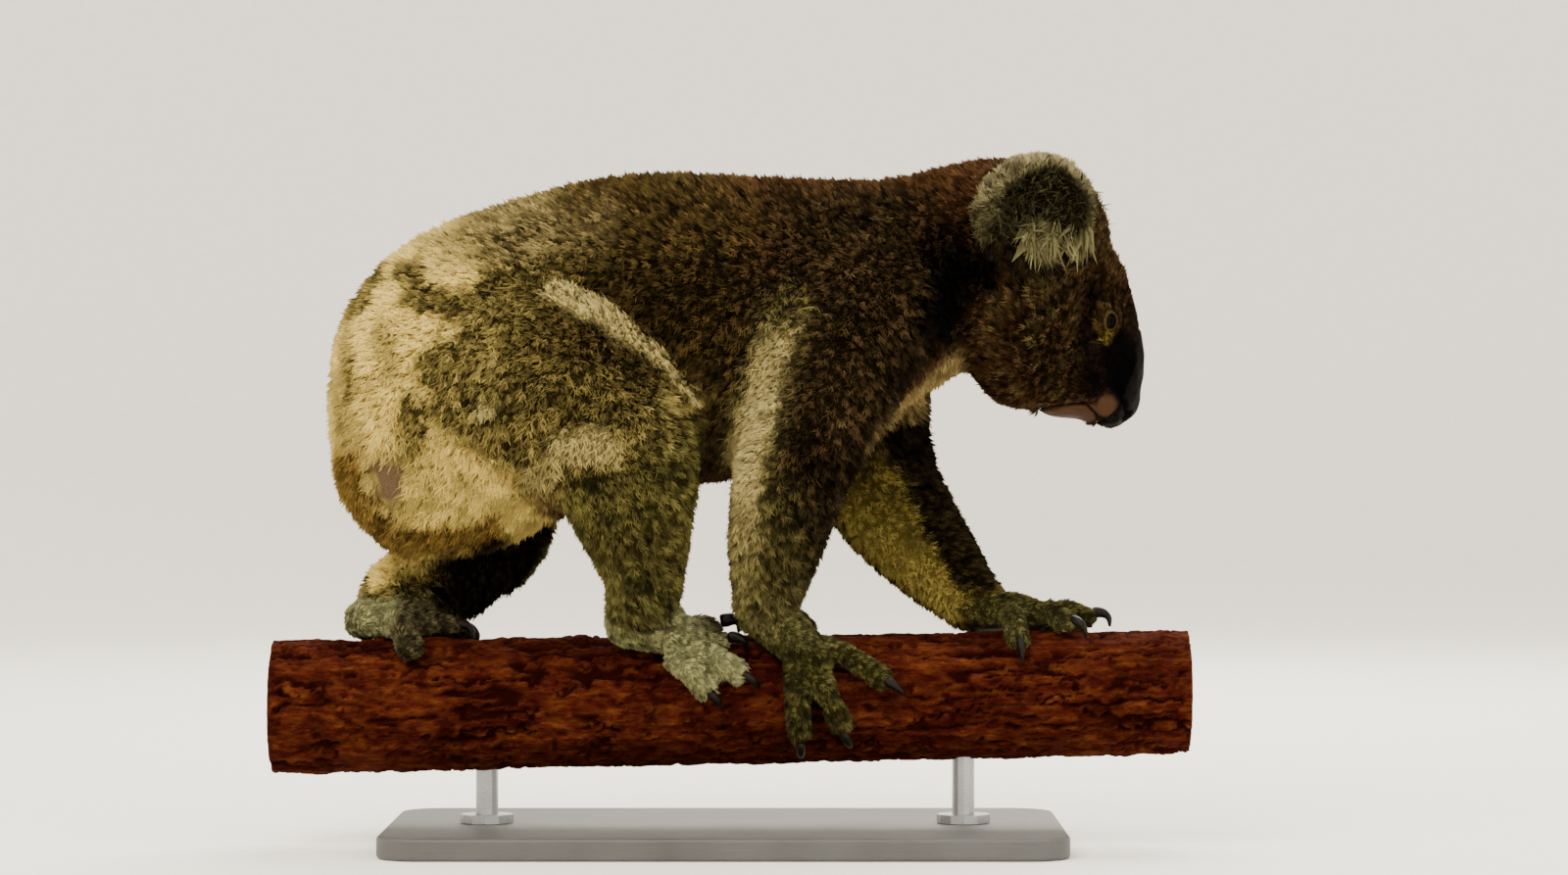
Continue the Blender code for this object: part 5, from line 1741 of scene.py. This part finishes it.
@dataclass
class BarkLog:
    """The cut length of log: furrowed bark round it, and sawn ends with rings."""

    rows: int = 460
    columns: int = 190
    furrow_depth: float = 0.0052
    end_rows: int = 14
    end_dish: float = 0.0006
    radius: float = 0.0472
    taper: float = 0.0055

    def build(self) -> bpy.types.Object:
        """Makes the log and hides its solid.

        The bark is a tube about the sloping axis. Its radius at each turn and length is the solid's, less the
        furrows' depth there. The ends run on to their middles as flat discs.
        """
        low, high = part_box("perch_log")
        edge = np.linspace(0.0, 1.0, self.end_rows, endpoint=False)
        along = np.linspace(low.x, high.x, self.rows)
        length = np.concatenate([np.full(self.end_rows, low.x), along, np.full(self.end_rows, high.x)])
        inset = np.concatenate([edge, np.ones(self.rows), edge[::-1]])[:, None]
        turn = np.linspace(0, 2 * math.pi, self.columns, endpoint=False)[None, :]
        radius = np.repeat(self.radius - self.taper * length[:, None], self.columns, axis=1)
        lengthwise = np.broadcast_to(length[:, None], radius.shape)
        relief, tone = self._relief(
            np.stack([lengthwise, radius * np.cos(turn), radius * np.sin(turn)], -1).reshape(-1, 3)
        )
        end = np.concatenate([np.ones(self.end_rows), np.zeros(self.rows), np.ones(self.end_rows)])[:, None]
        radius = (radius - relief.reshape(radius.shape)) * np.maximum(inset, 0.02)
        height = PERCH_HEIGHT + PERCH_SLOPE * length[:, None] + radius * np.cos(turn)
        points = np.stack([lengthwise, radius * np.sin(turn), height], -1)
        # The ends dish in by a hair, so that the saw's face doesn't run on into the bark.
        points[..., 0] += np.where(end > 0, np.sign(-length[:, None]) * self.end_dish * (1 - inset), 0.0)
        surface = grid(points, True, True)
        surface.faces = surface.faces[:, ::-1]
        obj = surface.made("bark_log")
        set_attribute(obj, "depth", np.append(tone, (0, 0)))
        set_attribute(obj, "sawn", np.append(np.broadcast_to(end, radius.shape).ravel(), (1, 1)))
        dress(obj, self._finish())
        hand_over(obj, "bark", "perch_log")
        return obj

    def _relief(self, places: Array) -> tuple[Array, Array]:
        """How deep the bark is cut at each place, and how far that place is into a furrow, from 0 to 1.

        Three sizes of furrow lie where stretched noise passes through zero, so they run along the log, join
        and part. Each opens only where a second noise lets it, so that furrows are short and ragged and end
        on their own. Plates stand higher or lower by steps.
        """
        noise = Noise(SEED + 5)
        jag = noise(places, 0.0075, 2)[:, None] * np.array([0.0, 0.0026, 0.0026])
        jag = jag + noise(places, 0.0028, 2)[:, None] * np.array([0.002, 0.0009, 0.0009])
        deep = np.zeros(len(places))
        for number, (cell, width, strength, opens) in enumerate(FURROWS):
            shift = 3.7 * number
            line = np.exp(-((noise(places + jag + shift, cell, 2) / width) ** 2))
            let = noise(places + 1.9 + shift, (cell[0] * 0.55, 0.024, 0.024), 2)
            gate = ease(opens - 0.12, opens + 0.22, let)
            deep = np.maximum(deep, strength * line * gate)
        plate = ease(-0.05, 0.05, noise(places + jag * 1.5 + 11.0, (0.024, 0.0085, 0.0085), 2))
        lumps = 0.0010 * noise(places + 2.0, (0.026, 0.011, 0.011), 3)
        lumps = lumps + 0.0006 * noise(places, (0.005, 0.003, 0.003), 2)
        cut = self.furrow_depth * deep * 0.85 + 0.0009 * (1 - plate) + 0.0010 - lumps
        return cut, np.clip(deep + 0.16 * (1 - plate), 0, 1)

    def _finish(self) -> Shader:
        """Red-brown bark with dark furrows and lighter flakes, and pale sawn wood with rings at the ends."""
        bark = Shader("bark", Specular_IOR_Level=0.02)
        streaks = bark.noise(bark.place((0.30, 1.0, 1.0)), 240, 6, 0.68)
        blotch = bark.noise(bark.place((0.55, 1.0, 1.0)), 62, 4, 0.62)
        grain = bark.noise(bark.place((0.20, 1.0, 1.0)), 1300, 3)
        plate = bark.ramp(streaks, BARK_STOPS)
        tint = bark.ramp(blotch, BARK_TINTS)
        depth = bark.number("depth")
        body = bark.blend(1.0, plate, tint, "MULTIPLY")
        body = bark.blend((depth * 1.15).held(), body, FURROW)
        # The rings' place is measured from a heart a little off the log's axis.
        heart = bark.place(shift=(0.0, 0.004, -PERCH_HEIGHT - 0.004))
        rings = bark.value(
            "ShaderNodeTexWave",
            {"wave_type": "RINGS", "rings_direction": "X", "wave_profile": "SAW"},
            {"Vector": heart, "Scale": 95.0, "Distortion": 2.2, "Detail": 3.0, "Detail Scale": 1.4},
        )
        wood = bark.ramp(rings, WOOD_STOPS)
        sawn = bark.number("sawn")
        bark.feed("Base Color", bark.blend(sawn.held(), body, wood))
        bark.feed("Roughness", 0.78 + 0.2 * streaks)
        bark.bump(streaks * 1.0 + grain * 0.30 + rings * sawn * 0.10, 0.0026)
        return bark


@dataclass
class Stand:
    """The display stand: a painted board with eased edges, and two brushed rods that keep their solids."""

    corner: float = 0.030
    ease_radius: float = 0.0028
    face_inset: float = 0.02
    corner_steps: int = 14
    ease_steps: int = 7

    def build(self) -> bpy.types.Object:
        """Makes the board, and gives the rods their steel.

        The board's outline is a rectangle with quarter-circle corners. It is carried up the edge's profile, a
        quarter round at the foot and another at the top, and each face closes on its middle.
        """
        low, high = (np.array(c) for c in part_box("stand_base"))
        half = (high - low)[:2] / 2
        quarter = np.linspace(0, math.pi / 2, self.corner_steps)
        turn = np.concatenate([quarter + k * math.pi / 2 for k in range(4)])
        centre_x = np.repeat([1, -1, -1, 1], self.corner_steps) * (half[0] - self.corner)
        centre_y = np.repeat([1, 1, -1, -1], self.corner_steps) * (half[1] - self.corner)
        bow = np.linspace(0, math.pi / 2, self.ease_steps)
        inset = self.ease_radius * (1 - np.sin(bow))
        rise = self.ease_radius * (1 - np.cos(bow))
        insets = np.concatenate([[self.face_inset], inset, inset[::-1], [self.face_inset]])
        heights = np.concatenate([[low[2]], low[2] + rise, high[2] - rise[::-1], [high[2]]])
        radius = self.corner - insets[:, None]
        x = centre_x + radius * np.cos(turn)
        y = centre_y + radius * np.sin(turn)
        points = np.stack([x, y, np.broadcast_to(heights[:, None], x.shape)], -1)
        obj = grid(points, True, True).made("board")
        weights = obj.modifiers.new("weights", "WEIGHTED_NORMAL")
        weights.keep_sharp = True
        dress(obj, self._board())
        hand_over(obj, "stand_board", "stand_base")
        steel = self._steel()
        for name in ("stand_rod_front", "stand_rod_rear"):
            dress(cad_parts[name], steel)
            LOG.info("%s: keeps its solid", name)
        return obj

    def _board(self) -> Shader:
        """Dark satin paint over a wooden board, with a faint brush grain and rubbed spots."""
        paint = Shader("stand_board", Specular_IOR_Level=0.35)
        grain = paint.noise(paint.place((0.10, 1.0, 1.0)), 420, 4)
        cloud = paint.noise(paint.place(), 16, 3)
        tone = paint.ramp(cloud, ((0.30, (0.050, 0.048, 0.045)), (0.70, (0.072, 0.069, 0.065))))
        paint.feed("Base Color", tone)
        paint.feed("Roughness", 0.44 + 0.18 * cloud)
        paint.bump(grain, 0.0003)
        return paint

    def _steel(self) -> Shader:
        """Brushed steel, with its scratches round the rods."""
        steel = Shader("stand_steel", Metallic=1.0)
        scratch = steel.noise(steel.place((0.25, 0.25, 3.0)), 1400, 3)
        tone = steel.ramp(scratch, ((0.30, (0.26, 0.26, 0.27)), (0.70, (0.38, 0.38, 0.39))))
        steel.feed("Base Color", tone)
        steel.feed("Roughness", 0.26 + 0.20 * scratch)
        steel.bump(scratch, 0.0001)
        return steel


# ---------------------------------------------------------------- floor, lights and camera


@dataclass
class Studio:
    """The pale floor and backdrop, the soft lights, and the camera."""

    camera_place: tuple = (0.042, -3.2, 0.291)
    lens: float = 102.9
    flat_reach: float = 3.6
    bend_radius: float = 2.4
    wall_height: float = 7.0
    columns: int = 96
    aim: tuple = (0.0, 0.0, 0.28)

    def build(self) -> None:
        """Sets all of it up. None of it is part of the model."""
        self._sweep()
        self._world()
        self._area("key", (-1.1, -2.2, 2.5), 2.2, 150.0, (1.0, 0.955, 0.88))
        self._area("fill", (2.0, -1.8, 1.3), 2.4, 48.0, (0.93, 0.97, 1.0))
        self._area("rim", (0.5, 2.0, 2.3), 2.0, 140.0, (1.0, 0.96, 0.90))
        camera = bpy.data.cameras.new("camera")
        camera.lens, camera.sensor_width = self.lens, 36.0
        obj = bpy.data.objects.new("camera", camera)
        obj.location = self.camera_place
        obj.rotation_euler = (math.pi / 2, 0.0, 0.0)
        bpy.context.scene.collection.objects.link(obj)
        bpy.context.scene.camera = obj

    def _sweep(self) -> None:
        """A pale floor that curves up into a backdrop on every side, so that no horizon shows."""
        bend = np.linspace(0.1, math.pi / 2, 12)
        flat, radius, top = np.linspace(0.02, self.flat_reach, 8), self.bend_radius, self.wall_height
        reach = np.concatenate([flat, self.flat_reach + radius * np.sin(bend), [self.flat_reach + radius]])
        rise = np.concatenate([np.zeros(8), radius * (1 - np.cos(bend)), [top]])
        turn = np.linspace(0, 2 * math.pi, self.columns, endpoint=False)[None, :]
        height = np.repeat(rise[:, None], self.columns, axis=1)
        points = np.stack([reach[:, None] * np.cos(turn), reach[:, None] * np.sin(turn), height], -1)
        sweep = grid(points[:, ::-1], True, False).made("floor")
        number = np.arange(self.columns)
        middle = Surface(
            np.vstack([points[0], [[0.0, 0.0, 0.0]]]),
            np.stack([np.full(self.columns, self.columns), number, np.roll(number, -1)], axis=1),
        ).made("floor_middle")
        paper = Shader("floor_paper", Roughness=0.9, Specular_IOR_Level=0.1)
        speck = paper.noise(paper.place(), 60, 4)
        paper.feed("Base Color", paper.ramp(speck, ((0.3, (0.86, 0.83, 0.76)), (0.7, (0.89, 0.86, 0.79)))))
        for sheet in (sweep, middle):
            dress(sheet, paper)

    def _world(self) -> None:
        """Even pale light from all round."""
        world = bpy.data.worlds.new("studio")
        world.use_nodes = True
        background = world.node_tree.nodes["Background"]
        background.inputs["Color"].default_value = (1.0, 0.985, 0.95, 1.0)
        background.inputs["Strength"].default_value = 2.1
        bpy.context.scene.world = world

    def _area(self, name: str, place: tuple, size: float, power: float, colour: Colour) -> None:
        """A square soft light that faces the model."""
        light = bpy.data.lights.new(name, "AREA")
        light.shape, light.size, light.energy, light.color = "SQUARE", size, power, colour
        obj = bpy.data.objects.new(name, light)
        obj.location = place
        towards = Vector(self.aim) - Vector(place)
        obj.rotation_euler = towards.to_track_quat("-Z", "Y").to_euler()
        bpy.context.scene.collection.objects.link(obj)


def main() -> None:
    """Builds every piece in order."""
    logging.basicConfig(level=logging.INFO, format="%(message)s")
    Studio().build()
    skin = Skin()
    skin.build()
    Coat(skin).build()
    for eye in skin.eyes.values():
        eye.build()
    Nose().build()
    Claws().build()
    BarkLog().build()
    Stand().build()


if __name__ == "__main__":
    main()
